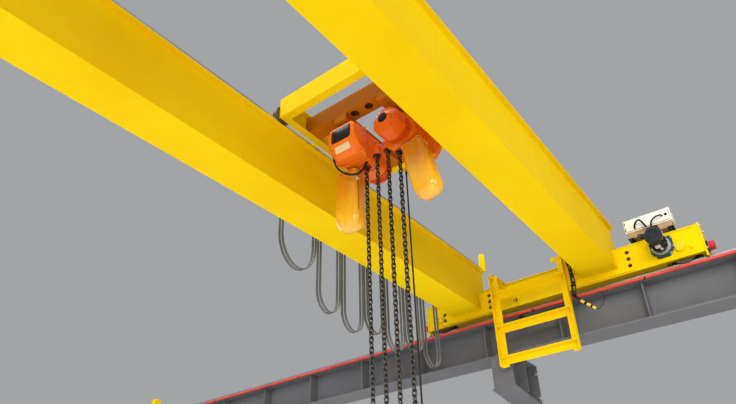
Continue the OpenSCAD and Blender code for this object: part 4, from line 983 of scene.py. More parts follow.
@dataclass
class Hoist(Assembly):
    """An electric chain hoist, measured from the front of its control box along its axis."""

    side: str
    front: float
    axis_y: float
    motor_end: float
    backwards: bool = False
    axis_z: float = -205.0
    box_l: float = 150.0
    casing_l: float = 260.0
    cover_l: float = 61.0
    cone_l: float = 43.0
    fins: int = 32

    @property
    def first(self) -> bool:
        """Returns: whether this hoist's pieces stand for the CAD nodes of both."""
        return self.side == "left"

    def local(self) -> Shape:
        """Returns: an empty shape in the hoist's own frame."""
        flip = Matrix.Scale(-1, 4, (1, 0, 0)) if self.backwards else Matrix.Identity(4)
        return Shape(Matrix.Translation((self.front, self.axis_y, self.axis_z)) @ flip)

    def control_box(self) -> None:
        """Builds the chamfered control box with its bare plate, label and vents."""
        stations = ((0, 120, -2, 150, 26), (8, 128, -8, 161, 32), (46, 133, -78, 176, 42),
                    (76, 134, -102, 180, 46), (150, 134, -106, 180, 46))
        shape = self.local().loft([[(u, a, b) for a, b in chamfered(-w, w, low, high, cut)]
                                   for u, w, low, high, cut in stations], bevel=3.0)
        for side in (-1, 1):
            for k in range(3):
                shape.box((84 - k * 4, side * 126 - 11, 110 - k * 58),
                          (140, side * 126 + 11, 140 - k * 58), 6)
            shape.box((100, side * 112 - 24, -98), (149, side * 112 + 24, -52), 8)
        shape.box((140, -128, -102), (150.3, 128, 174), 3)
        self.piece(shape, f"{self.side}_control_box", Finish.ORANGE,
                   replaces=["control_boxes"] if self.first else [])
        plate = self.local().prism(rounded(-92, 92, 10, 138, 22), "X", -2.5, 4, bevel=1.0)
        self.piece(plate, f"{self.side}_box_plate", Finish.GLOSS_BLACK)
        label = self.local()
        tilt = Matrix.Rotation(-math.atan2(38, 70), 4, "Y")
        label.turn = label.turn @ Matrix.Translation((26.5, 4, -42)) @ tilt
        label.prism(rounded(-70, 70, -26, 26, 5), "X", -1.5, 3, bevel=0.5)
        self.piece(label, f"{self.side}_box_label", Finish.PALE_PLATE)
        screws = self.local()
        for y, z in ((-104, 18), (104, 18), (-101, 136), (101, 136)):
            screws.lathe([(4.5, 0.5), (4.5, -2), (3, -3), (0.1, -3)], (0, y, z), "X", 16)
        self.piece(screws, f"{self.side}_box_screws", Finish.ZINC)

    def casing(self) -> None:
        """Builds the ribbed gear casing with its joint flanges and bolts."""
        u0, u1 = self.box_l + 0.3, self.box_l + self.casing_l

        def outline(inset: float, radius: float) -> list[Flat]:
            """Returns: the casing's section, smaller by an inset."""
            return rounded(-128 + inset, 128 - inset, -115 + inset, 175 - inset, radius, 5)

        stations = ((u0, 0, 62), (u0 + 16, 0, 62), (u0 + 22, 9, 56), (u1 - 62, 12, 54), (u1 - 30, 2, 60),
                    (u1, 2, 60))
        shape = self.local().loft([[(u, a, b) for a, b in outline(inset, r)]
                                   for u, inset, r in stations], bevel=2.0)
        for k in range(5):
            u = u0 + 42 + k * 32
            shape.loft([[(x, a, b) for a, b in outline(inset, 58)] for x, inset in
                        ((u, 12), (u + 2, 3), (u + 7, 3), (u + 9, 12))])
        for side in (-1, 1):
            for low, high in ((-60, -36), (96, 118)):
                shape.box((u0 + 24, side * 104 - 16, low), (u1 - 70, side * 104 + 16, high), 6)
        self.piece(shape, f"{self.side}_gear_casing", Finish.ORANGE,
                   replaces=["hoist_casings"] if self.first else [])
        places = [(u0 + 16, a * 0.93, b * 0.96) for a, b in
                  ((-96, -86), (96, -86), (-96, 146), (96, 146), (-112, 30), (112, 30))]
        self.piece(self.local().bolts(places, "X", 1, 15, 7), f"{self.side}_casing_bolts", Finish.ZINC)

    def motor(self) -> None:
        """Builds the finned motor with its eight-sided fan cover and cap."""
        u0, u1 = self.box_l + self.casing_l + 0.6, self.motor_end
        cover = u1 - self.cover_l
        body = self.local().lathe([(112, u0), (114, u0 + 6), (114, u0 + 18), (98, u0 + 22), (98, cover - 4),
                                   (104, cover - 2), (104, cover + 2)], (0, 0, 0), "X", 64)
        for k in range(self.fins):
            body.turn = self.local().turn @ Matrix.Rotation(2 * math.pi * (k + 0.5) / self.fins, 4, "X")
            body.loft([[(u, -3, 94), (u, 3, 94), (u, 1.6, top), (u, -1.6, top)] for u, top in
                       ((u0 + 18, 108), (u0 + 24, 117), (cover - 8, 117), (cover - 2, 108))])
        self.piece(body, f"{self.side}_motor", Finish.RED_ORANGE,
                   replaces=["hoist_motors"] if self.first else [])
        slope = u1 - self.cone_l
        stations = ((cover, 112), (cover + 4, 118), (slope, 117), (u1 - 7, 51), (u1 - 3, 46))
        shell = self.local().loft([[(u, a, b) for a, b in round_outline(r, 8, 0.5)]
                                   for u, r in stations], bevel=2.5)
        for k in range(8):
            shell.turn = self.local().turn @ Matrix.Rotation(math.pi / 4 * k, 4, "X")
            for side in (-14, 14):
                shell.loft([[(u, side - 3, z - 6), (u, side + 3, z - 6), (u, side + 2, z),
                             (u, side - 2, z)] for u, z in
                            ((slope + 2, 108), (slope + 5, 107), (u1 - 12, 56), (u1 - 9, 50))])
        self.piece(shell, f"{self.side}_fan_cover", Finish.RED_ORANGE)
        cap = self.local().lathe([(40, u1 - 8), (40, u1 - 1.5), (38, u1 - 0.3)], (0, 0, 0), "X", 40)
        self.piece(cap, f"{self.side}_fan_cap", Finish.INSULATOR)

    def build(self) -> None:
        """Builds the hoist."""
        self.control_box()
        self.casing()
        self.motor()


@dataclass
class ChainGuides(Assembly):
    """The cast guides that the falls leave through, with rubber collars."""

    chain_x: float = -2610.0
    falls: tuple[tuple[float, float, int], ...] = ((133, -332, 1), (29, -264, 1), (-177, -332, -1),
                                                   (-73, -264, -1))

    def build(self) -> None:
        """Builds the guides."""
        guides, collars = Shape(), Shape()
        for y, low, out in self.falls:
            centre = (self.chain_x, y, 0)
            guides.lathe([(23, low), (30, low), (34, low + 4), (34, low + 26), (30, low + 34), (23, low + 38),
                          (23, low)], centre, "Z", 36)
            near, far = sorted((y + out * 24, y + out * 70))
            guides.box((self.chain_x - 30, near, low + 6), (self.chain_x + 30, far, low + 52), 7)
            guides.box((self.chain_x - 24, y - 26, low + 36), (self.chain_x + 24, y + 26, low + 96), 6)
            collars.lathe([(23.2, low - 1), (31, low - 1), (33, low + 1), (33, low + 5), (23.2, low + 5),
                           (23.2, low - 1)], centre, "Z", 36)
        self.piece(guides, "chain_guides", Finish.RED_ORANGE)
        self.piece(collars, "chain_collars", Finish.RUBBER)


@dataclass
class ChainFalls(Assembly):
    """The four falls of round-link chain."""

    chain_x: float = -2610.0
    first_z: float = -334.65
    pitch: float = 34.0
    wire: float = 5.6
    bend_wires: float = 2.28
    slack: float = 0.3
    outer: Flat = (133, -177)
    inner: Flat = (29, -73)
    outer_links: int = 62
    inner_more: int = 2

    def link(self) -> bmesh.types.BMesh:
        """Returns: one link across X, at the origin."""
        bend = self.wire * self.bend_wires
        straight = (self.pitch + self.slack) / 2 - (bend - self.wire)
        line = []
        for end in (1, -1):
            for k in range(9):
                angle = math.pi * k / 8 + (0 if end > 0 else math.pi)
                line.append((bend * math.cos(angle), 0.0, straight * end + bend * math.sin(angle)))
        maker = Shape().tube(line, self.wire, 8, smooth=False, closed=True)
        bpy.data.meshes.remove(maker.spare)
        return maker.bm

    def build(self) -> None:
        """Builds the links of both directions."""
        for turn, node in enumerate(("chain_flat_links", "chain_edge_links")):
            spin = Matrix.Rotation(math.pi / 2 * turn, 4, "Z")
            moves = []
            for places, more in ((self.outer, 0), (self.inner, self.inner_more)):
                moves += [Matrix.Translation((self.chain_x, y, self.first_z + (more - i) * self.pitch)) @ spin
                          for y in places for i in range(turn, self.outer_links + more, 2)]
            self.piece(Shape().copies(self.link(), moves), f"hoist_{node}", Finish.CHAIN,
                       replaces=[node], smooth=60)


@dataclass
class Bucket(Assembly):
    """A moulded chain bucket that hangs on its pin."""

    side: str
    pin_y: float
    lean: float
    pin_x: float = -2614.0
    pin_z: float = -354.0
    more: float = 0.0

    def local(self) -> Shape:
        """Returns: an empty shape in the bucket's own frame."""
        return Shape(Matrix.Translation((self.pin_x, self.pin_y, self.pin_z)) @ Matrix.Rotation(
            -math.radians(self.lean), 4, "X"))

    def build(self) -> None:
        """Builds the shell, its lip, the closing strip and the pin."""
        stations = ((20, 128, 164, 20), (-10, 130, 166, 22), (-70, 138, 174, 26), (-205, 150, 190, 30),
                    (-380, 150, 190, 34), (-424, 144, 184, 40), (-452, 126, 166, 44), (-472, 96, 134, 38),
                    (-480, 56, 84, 24))

        def ring(z: float, d: float, w: float, r: float, steps: int = 3) -> list[Point]:
            """Returns: the bucket's outline at a height."""
            return [(a, b, z) for a, b in rounded(-d / 2, d / 2, -w / 2, w / 2 + self.more, r, steps)]

        outer = [ring(*station) for station in stations]
        inner = [ring(z + (4 if z < -440 else 0), d - 8, w - 8, max(r - 4, 4)) for z, d, w, r in stations]
        self.piece(self.local().loft([*reversed(outer), *inner]), f"{self.side}_bucket", Finish.AMBER,
                   replaces=[f"bucket_{self.side}"], smooth=50)
        edge = ((8, 131, 167), (8, 138, 174), (19.5, 138, 174), (19.5, 122, 158), (8, 122, 158))
        lip = self.local().loft([ring(z, d, w, 24, 4) for z, d, w in edge], closed=True)
        for z in (-120, -250):
            taper = (z + 250) * 0.06
            lip.loft([ring(z + dz, 149 - taper + 2 * out, 189 - taper + 2 * out, 30, 4)
                      for dz, out in ((-9, -6), (-5, -0.5), (5, -0.5), (9, -6))])
        self.piece(lip, f"{self.side}_bucket_lip", Finish.AMBER)
        if self.side == "left":
            strip = self.local().box((-52, -95.8, -360), (-42, -86, -96), 2)
            self.piece(strip, "left_bucket_strip", Finish.BROWN_AND_PAINTED_SHADE)
            clip = self.local().box((-60, -97.5, -92), (-34, -80, -68), 4)
            self.piece(clip, "left_bucket_clip", Finish.PALE_PLATE)
        pin = self.local().disc((0, 0, 0), "X", 5, -78, 78, 1).disc((0, 0, 0), "X", 9, -80, -75).disc(
            (0, 0, 0), "X", 9, 75, 80)
        self.piece(pin, f"{self.side}_bucket_pin", Finish.ZINC)
        lug = Shape().box((self.pin_x - 8, self.pin_y - 12, self.pin_z - 12),
                          (self.pin_x + 8, self.pin_y + 12, -286), 3)
        self.piece(lug, f"{self.side}_bucket_lug", Finish.RED_ORANGE)


@dataclass
class HookBlock(Assembly):
    """The bottom block that joins the falls, with its shank, hook and latch."""

    x: float = -2610.0
    low_y: float = -237.0
    high_y: float = 193.0
    top: float = -2407.3
    deep: float = 190.0
    half: float = 48.0
    cut: float = 64.0
    falls: tuple[float, ...] = (133.0, 29.0, -73.0, -177.0)
    hook_r: float = 70.0

    def build(self) -> None:
        """Builds the two halves, the trim plates and the hook."""
        y0, y1, z1 = self.low_y, self.high_y, self.top
        z0 = z1 - self.deep
        outline = [(y0, z1), (y0, z0 + self.cut), (y0 + self.cut, z0), (y1 - self.cut, z0),
                   (y1, z0 + self.cut), (y1, z1)]
        body = Shape()
        for side in (-1, 1):
            body.prism(outline, "X", self.x + side * 1.2, self.x + side * self.half, bevel=9.0)
        for y in self.falls:
            body.lathe([(23, -30), (31, -30), (31, -2), (28, 3), (23, 3), (23, -30)],
                       (self.x, y, z1 - 2), "Z", 32)
        self.piece(body, "hook_housing", Finish.BROWN_AND_PAINTED_SHADE, replaces=["hook_block"])
        mid = (y0 + y1) / 2
        trim = Shape().disc((self.x, mid, z0), "Z", 46, 2, -10, 2)
        trim.disc((self.x, mid, z0), "Z", 38, -8, -22, 3)
        places = [(self.x + self.half - 0.2, y, z) for y, z in
                  ((y0 + 34, z1 - 30), (y1 - 34, z1 - 30), (y0 + 70, z0 + 44), (y1 - 70, z0 + 44),
                   (mid, z1 - 70))]
        trim.bolts(places, "X", 1, 20, 8)
        trim.bolts([(2 * self.x - x, y, z) for x, y, z in places], "X", -1, 20, 8)
        self.piece(trim, "hook_trim", Finish.ZINC)
        ring_z = z0 - 60 - self.hook_r
        bend = [(self.x, mid, z0 + 6), (self.x, mid, z0 - 30), (self.x, mid - 2, z0 - 52)]
        widths = [27.0, 26.0, 22.0]
        for k in range(25):
            angle = math.radians(96 + 10.4 * k)
            bend.append((self.x, mid + self.hook_r * math.cos(angle), ring_z + self.hook_r * math.sin(angle)))
            widths.append(17.0 + 5.0 * math.sin(math.pi * k / 24) - 9.0 * max(k - 17, 0) / 7)
        self.piece(Shape().tube(bend, widths, 20, smooth=False), "hook", Finish.HOOK, smooth=60)
        latch = Shape().prism([(mid - 6, z0 - 58), (mid + 10, z0 - 62), (mid + 66, ring_z + 8),
                               (mid + 56, ring_z + 2), (mid + 2, z0 - 74)], "X", self.x - 9,
                              self.x + 9, bevel=1.5)
        latch.disc((self.x, mid + 1, z0 - 64), "X", 7, -16, 16)
        self.piece(latch, "hook_latch", Finish.ZINC)


@dataclass
class TrolleyTrim(Assembly):
    """Bolts, bearing covers and the hoists' wiring on the trolley frame."""

    front: float = -3150.0
    rear: float = -2000.0
    side_y: float = 560.0
    axle_x: Flat = (-3100.0, -2050.0)
    axle_z: float = 105.3
    beam_x: Flat = (-2870.0, -2250.0)
    beam_w: float = 125.0
    hangers: tuple[Flat, ...] = ((-2650.0, 181.0), (-2540.0, -225.0))

    def build(self) -> None:
        """Builds the trim."""
        bolts, covers, welds = Shape(), Shape(), Shape()
        for side in (-1, 1):
            y = side * self.side_y
            for x in self.beam_x:
                bolts.bolts([(x + dx, y, z) for dx in (26, self.beam_w - 26) for z in (85, 176)], "Y",
                            side, 22, 9)
                welds.box((x - 5, y - side * 10 - 6, 58), (x + 1, y - side * 10 + 6, 204), 2)
            for x in self.axle_x:
                covers.disc((x, side * 525, self.axle_z), "Y", 40, 2 * side, -8 * side, 1.5)
                bolts.bolts([(x + a, side * 517, self.axle_z + b) for a, b in round_outline(29, 3)], "Y",
                            -side, 11, 5)
            bolts.bolts([(self.rear, y - side * dy, z) for dy in (30, 74) for z in (76, 200)], "X", 1, 22, 9)
        self.piece(bolts, "trolley_bolts", Finish.ZINC)
        self.piece(covers, "trolley_bearing_covers", Finish.DARK)
        self.piece(welds, "trolley_welds", Finish.YELLOW)
        hooks = Shape()
        for x, y in self.hangers:
            hooks.tube([(x - 40, y, -22), (x - 40, y, 10), (x - 26, y, 24), (x, y, 28), (x + 26, y, 24),
                        (x + 40, y, 10), (x + 40, y, -22)], 9, 12)
        self.piece(hooks, "hoist_hangers", Finish.RED_ORANGE)
        loop = Shape().tube([(-2790, 314, -158), (-2766, 344, -170), (-2750, 350, -205), (-2745, 327, -298),
                             (-2741, 272, -376), (-2733, 196, -432), (-2712, 138, -436), (-2684, 112, -392),
                             (-2660, 104, -336), (-2640, 104, -300)], 9, 12)
        loop.tube([(-2318, -96, -120), (-2332, -72, -128), (-2360, -52, -150), (-2404, -44, -150),
                   (-2440, -70, -128)], 8, 12)
        loop.tube([(-2300, -110, -52), (-2290, -90, 8), (-2268, -60, 40), (-2256, -20, 48), (-2100, -10, 50),
                   (-2010, -14, 62)], 7, 12)
        self.piece(loop, "hoist_wiring", Finish.RUBBER)
        glands = Shape()
        for at, axis in (((-2790, 310, -158), "Y"), ((-2318, -98, -120), "Y")):
            glands.disc(at, axis, 13, -6, 8, 1.5, 6)
        self.piece(glands, "hoist_glands", Finish.INSULATOR)


@dataclass
class TrolleyWheelCap(Assembly):
    """Hub cap and screws of one trolley wheel."""

    name: str
    x: float
    side: int
    axle_z: float = 105.3
    face_y: float = 624.0

    def build(self) -> None:
        """Builds the cap."""
        self.body = f"trolley_wheel_{self.name}"
        shape = Shape().lathe([(18, -1), (27, -1), (27, 6), (24, 9), (10, 10)],
                              (self.x, 0, self.axle_z), "Y", 32)
        shape.bolts([(self.x + a, 9, self.axle_z + b) for a, b in round_outline(17, 3)], "Y", 1, 8, 3)
        bmesh.ops.translate(shape.bm, vec=(0, self.face_y, 0), verts=shape.bm.verts)
        if self.side < 0:
            bmesh.ops.scale(shape.bm, vec=(1, -1, 1), verts=shape.bm.verts)
        self.piece(shape, f"{self.body}_cap", Finish.ZINC)


@dataclass
class TrolleyDrive(Assembly):
    """The trolley's gearbox with its finned motor."""

    x: float = -2148.0
    low_y: float = -556.0
    box_w: float = 86.0
    floor: float = 231.0
    axis_z: float = 297.0
    motor_l: float = 240.0
    fins: int = 28

    def build(self) -> None:
        """Builds the drive."""
        y0, y1 = self.low_y, self.low_y + self.box_w
        box = Shape().prism(chamfered(self.x - 55, self.x + 55, self.floor, 341, 18), "Y", y0 + 6,
                            y1, bevel=4)
        box.disc((self.x, y0, self.axis_z - 14), "Y", 40, 0, 12, 3)
        for k in range(3):
            box.box((self.x - 57, y0 + 22 + k * 20, self.floor + 18), (self.x + 57, y0 + 28 + k * 20, 322), 2)
        self.piece(box, "trolley_gearbox", Finish.TEAL, replaces=["trolley_drive"])
        end = y1 + self.motor_l
        motor = Shape().lathe([(52, y1 - 1), (58, y1 + 2), (58, y1 + 14), (48, y1 + 18), (48, end - 50),
                               (60, end - 46), (60, end - 12), (54, end - 2), (40, end)],
                              (self.x, 0, self.axis_z), "Y", 48)
        axis = Matrix.Translation((self.x, 0, self.axis_z))
        for k in range(self.fins):
            motor.turn = axis @ Matrix.Rotation(2 * math.pi * k / self.fins, 4, "Y")
            motor.box((-1.4, y1 + 15, 46), (1.4, end - 50, 59), 0.6)
        motor.turn = Matrix.Identity(4)
        self.piece(motor, "trolley_motor", Finish.DARK)
        trim = Shape().box((self.x + 44, y1 + 70, self.axis_z - 34),
                           (self.x + 80, y1 + 150, self.axis_z + 34), 4)
        trim.box((self.x + 79, y1 + 66, self.axis_z - 38), (self.x + 84, y1 + 154, self.axis_z + 38), 2)
        self.piece(trim, "trolley_motor_box", Finish.DARK)
        places = [(self.x + a, y0 + 6, self.floor + 55 + b)
                  for a, b in ((-42, -42), (42, -42), (-42, 42), (42, 42))]
        bolts = Shape().bolts(places, "Y", -1, 13, 5)
        bolts.bolts([(self.x + side * 48, y0 + 30, self.floor) for side in (-1, 1)], "Z", 1, 16, 8)
        self.piece(bolts, "trolley_drive_bolts", Finish.ZINC)


# Bridge


@dataclass
class BridgeEnd(Assembly):
    """Everything that the far end of the bridge has, and the near end as its mirror image."""

    near: bool = False

    @property
    def end(self) -> str:
        """Returns: the word that names this end's pieces."""
        return "near" if self.near else "far"

    def fit(self, shape: Shape, name: str, finish: Finish, replaces: Sequence[str] = (),
            **how: object) -> None:
        """Finishes a shape as a piece of this end of the bridge."""
        shape.finish(f"{name}_{self.end}", finish, "bridge", replaces=replaces, near=self.near, **how)


@dataclass
class TravelDrive(BridgeEnd):
    """Gearbox plate, motor flange and finned motor on the truck's inner face."""

    y: float = -1350.0
    z: float = -455.0
    gearbox_t: float = 46.0
    flange_t: float = 18.0
    motor_l: float = 270.0
    radius: float = 70.0
    fins: int = 32

    def gearbox(self) -> None:
        """Builds the gearbox plate with its bosses and bolts."""
        y, z, face = self.y, self.z, -self.gearbox_t
        outline = [(y - 104, z + 94), (y - 104, z - 36), (y - 52, z - 104), (y + 52, z - 104),
                   (y + 104, z - 36), (y + 104, z + 94)]
        shape = Shape().prism(outline, "X", -14, -0.3, bevel=4).prism(
            [(y + (a - y) * 0.93, z + (b - z) * 0.93) for a, b in outline], "X", face, -12, bevel=6)
        for k in range(4):
            shape.box((face - 3, y - 52 + k * 32, z - 98), (face + 4, y - 44 + k * 32, z - 74), 2)
        self.fit(shape, "travel_gearbox", Finish.TEAL, ["travel_gearboxes"])
        places = [(-14, y + a, z + b) for a, b in ((-97, 80), (97, 80), (-97, -14), (97, -14),
                                                   (-66, -78), (66, -78))]
        self.fit(Shape().bolts(places, "X", -1, 15, 7), "travel_gearbox_bolts", Finish.ZINC)
        start = face - self.flange_t
        flange = Shape().lathe([(86, start + 17.5), (89, start + 15), (89, start + 3), (86, start),
                                (70, start), (70, start - 2)], (0, y, z), "X", 64)
        flange.bolts([(start, y + a, z + b) for a, b in round_outline(80, 8, 0.5)], "X", -1, 12, 6)
        self.fit(flange, "drive_flange", Finish.ZINC)

    def motor(self) -> None:
        """Builds the motor with its fins, fan cover, terminal box, plates and cables; the silver plates paint
        in its glints.
        """
        y, z = self.y, self.z
        x1 = -self.gearbox_t - self.flange_t
        x0 = x1 - self.motor_l
        r = self.radius
        body = Shape().lathe([(68, x1 - 1), (70, x1 - 4), (72, x1 - 22), (r - 6, x1 - 30), (r - 6, x0 + 66)],
                             (0, y, z), "X", 64)
        for k in range(self.fins):
            body.turn = Matrix.Translation((0, y, z)) @ Matrix.Rotation(2 * math.pi * k / self.fins, 4, "X")
            body.loft([[(x, -2, r - 8), (x, 2, r - 8), (x, 1.1, top), (x, -1.1, top)] for x, top in
                       ((x0 + 68, r + 5), (x1 - 34, r + 5), (x1 - 24, r - 2))])
        body.turn = Matrix.Identity(4)
        for side in (-1, 1):
            body.box((x0 + 84, y + side * 62 - 8, z - 84), (x0 + 110, y + side * 62 + 8, z - 56), 3)
        self.fit(body, "travel_motor", Finish.DARK, ["travel_motors"])
        cover = Shape().lathe([(78, x0 + 70), (79, x0 + 68), (79, x0 + 22), (76, x0 + 10), (67, x0 + 1.5),
                               (54, x0)], (0, y, z), "X", 64)
        for k in range(4):
            cover.lathe([(18 + k * 11, x0 + 1), (21 + k * 11, x0 - 2.5), (24 + k * 11, x0 + 1),
                         (18 + k * 11, x0 + 1)], (0, y, z), "X", 48)
        self.fit(cover, "travel_fan_cover", Finish.DARK)
        box_low, box_top = z + 60, z + 128
        box = Shape().box((x0 + 92, y - 47, box_low), (x0 + 208, y + 47, box_top - 16), 6)
        box.box((x0 + 89, y - 50, box_top - 18), (x0 + 211, y + 50, box_top), 5)
        for dx in (130, 172):
            box.disc((x0 + dx, y + 46, z + 88), "Y", 15, 0, 16, 2, 6)
        self.fit(box, "terminal_box", Finish.DARK)
        trim = Shape().bolts([(x0 + 150 + a, y + b, box_top)
                              for a, b in ((-52, -42), (52, -42), (-52, 42), (52, 42))],
                             "Z", 1, 9, 4)
        # Silver plates on the motor's side and underside, where it shows glints: painted highlights.
        trim.prism(rounded(x0 + 26, x0 + 62, z - 18, z + 18, 3), "Y", y - 80.6, y - 78, 0.4)
        trim.prism(rounded(x0 + 96, x0 + 158, y - 24, y + 24, 4), "Z", z - r - 8, z - r - 3, 0.6)
        trim.prism(rounded(x0 + 176, x0 + 206, y - 30, y - 4, 3), "Z", z - r - 8, z - r - 3, 0.6)
        trim.tube([(x0 + 238, y - 8, z + 80), (x0 + 238, y - 16, z + 96), (x0 + 238, y, z + 108),
                   (x0 + 238, y + 16, z + 96), (x0 + 238, y + 8, z + 80)], 4, 8, 6)
        self.fit(trim, "motor_trim_painted_glints", Finish.SILVER_AND_PAINTED_GLINT)
        lead = Shape().tube([(x0 + 172, y + 60, z + 88), (x0 + 172, y + 84, z + 92),
                             (x0 + 196, y + 116, z + 118), (-70, y + 134, z + 150), (-14, y + 128, z + 168),
                             (30, y + 116, z + 176), (58, y + 106, z + 190), (66, y + 104, z + 203)], 8, 12)
        lead.tube([(x0 + 130, y + 60, z + 88), (x0 + 130, y + 92, z + 90), (x0 + 168, y + 140, z + 122),
                   (-74, y + 162, z + 154), (-12, y + 158, z + 170), (36, y + 148, z + 178),
                   (64, y + 138, z + 190), (72, y + 136, z + 203)], 7, 12)
        self.fit(lead, "motor_leads", Finish.RUBBER)

    def build(self) -> None:
        """Builds the drive."""
        self.gearbox()
        self.motor()


@dataclass
class Truck(BridgeEnd):
    """Bolts, keepers and buffers of an end truck."""

    width: float = 180.0
    axle_y: Flat = (1095.0, -1500.0)
    axle_z: float = -499.7
    girder_y: float = 750.0
    plate_z: float = -468.0
    hole_out: float = 286.0
    hole_r: float = 13.0
    ends: Flat = (1276.0, -1706.0)
    buffer_x: float = 90.0
    buffer_z: float = -529.7
    buffer_r: float = 45.0

    def bolts(self) -> None:
        """Builds the keeper bolts, the bolts on the axles' inner lugs, the end plates' bolts, the fill and
        rims of the joint plates' holes, and the lugs.
        """
        shape = Shape()
        for y in self.axle_y:
            shape.bolts([(self.width + 10, y + a, self.axle_z + b) for a, b in round_outline(38.5, 4, 0.5)],
                        "X", 1, 10, 6)
            shape.bolts([(-25, y + a, self.axle_z) for a in (-26, 26)], "X", -1, 13, 7)
        for y, out in zip(self.ends, (1, -1)):
            shape.bolts([(self.buffer_x + a * 74, y, self.buffer_z + b * 62 + 20) for a in (-1, 1)
                         for b in (-1, 1)],
                        "Y", out, 22, 10)
            shape.bolts([(self.buffer_x + a * 74, y, -340) for a in (-1, 1)], "Y", out, 22, 10)
        self.fit(shape, "truck_bolts", Finish.ZINC)
        # Dark discs fill the joint plates' holes: painted shade inside the open holes. The rings round the
        # holes take the same dark red-brown.
        holes = Shape()
        for side in (-1, 1):
            for s in (-1, 1):
                for row in (-1, 0, 1):
                    at = (0, side * self.girder_y + s * self.hole_out, self.plate_z + row * 70)
                    holes.disc(at, "X", self.hole_r - 0.4, -6, -0.3, 0.5, 24)
                    holes.lathe([(self.hole_r, -13), (self.hole_r, -14.8), (self.hole_r + 7, -14.8),
                                 (self.hole_r + 7, -13), (self.hole_r, -13)], at, "X", 28)
        self.fit(holes, "joint_hole_shade_and_rims", Finish.HOLE_PAINTED_SHADE)
        lugs = Shape().box((-22, -1600, -544), (0, -1580, -500), 3).box((-26, 160, -556), (0, 176, -500), 3)
        for y in self.axle_y:
            lugs.disc((0, y, self.axle_z), "X", 43, -25, -10.4, 3, 40)
        brace = [((-206, 316, -318), (-206, 316, -352)), ((-1, 196, -412), (-1, 196, -446))]
        lugs.loft([[(x, y + dy, z) for (x, y, z), dy in ((a, -4), (b, -4), (b, 4), (a, 4))]
                   for a, b in brace], bevel=1.5)
        lugs.box((-9, -1650, -330), (-1, 1230, -322), 1)
        for z in (-603, -322):
            lugs.tube([(-1, -1688, z), (-1, 1258, z)], 4, 6, smooth=False)
        self.fit(lugs, "truck_lugs", Finish.YELLOW)
        self.fit(Shape().disc((-13, 168, -541), "Y", 14, -16, 16, 2, 20), "truck_lug_bolt", Finish.WHEEL)

    def buffers(self) -> None:
        """Builds the ringed rubber buffers on their foot plates."""
        rubber, foot = Shape(), Shape()
        r = self.buffer_r
        for y, out in zip(self.ends, (1, -1)):
            profile = [(r - 4, 10), (r, 13), (r, 20), (r - 5, 25), (r - 5, 28), (r, 33), (r, 40), (r - 5, 45),
                       (r - 5, 48), (r - 1, 53), (r - 2, 60), (r - 10, 67), (r - 24, 69.6)]
            rubber.lathe([(a, y + out * t) for a, t in profile], (self.buffer_x, 0, self.buffer_z), "Y", 48)
            foot.disc((self.buffer_x, 0, self.buffer_z), "Y", 55, y + out * 0.2, y + out * 12, 1.5, 48)
            foot.bolts([(self.buffer_x + a, y + out * 12, self.buffer_z + b)
                        for a, b in round_outline(50, 4, 0.5)],
                       "Y", out, 7, 4)
        self.fit(rubber, "buffer_rubber", Finish.BUFFER, ["truck_buffers"])
        self.fit(foot, "buffer_feet", Finish.DARK)

    def build(self) -> None:
        """Builds the trim."""
        self.bolts()
        self.buffers()


@dataclass
class Girders(Assembly):
    """Welds, splice lines and rail stitches of the two girders."""

    girder_y: float = 750.0
    rail_y: float = 600.0
    depth: float = 530.0
    web: float = 150.0
    splice_x: float = -1815.0

    def build(self) -> None:
        """Builds the beads."""
        self.body = "bridge"
        beads, stitches = Shape(), Shape()
        low, high = -self.depth + 11, -13
        for side in (-1, 1):
            middle = side * self.girder_y
            for face in (-1, 1):
                y = middle + face * (self.web + 1)
                for z in (low, high):
                    beads.tube([(NEAR_FACE + 4, y, z), (-4, y, z)], 4.5, 6, smooth=False)
            for x in (self.splice_x, NEAR_FACE - self.splice_x, NEAR_FACE / 2):
                beads.box((x - 5, middle - 169, -self.depth - 1.2),
                          (x + 5, middle + 169, -self.depth + 1), 0.8)
                for face in (-1, 1):
                    y = middle + face * self.web
                    beads.box((x - 5, y - 1.4, low), (x + 5, y + 1.4, high), 0.8)
            for k in range(36):
                x = -140 - k * 287.0
                for face in (-1, 1):
                    y = side * self.rail_y + face * 21
                    stitches.loft([[(x + dx, y - face * 2, 0), (x + dx, y + face * h, 0),
                                    (x + dx, y - face * 2, h)]
                                   for dx, h in ((-30, 3), (-24, 7), (24, 7), (30, 3))])
        self.piece(beads, "girder_welds", Finish.YELLOW)
        self.piece(stitches, "rail_stitches", Finish.YELLOW)


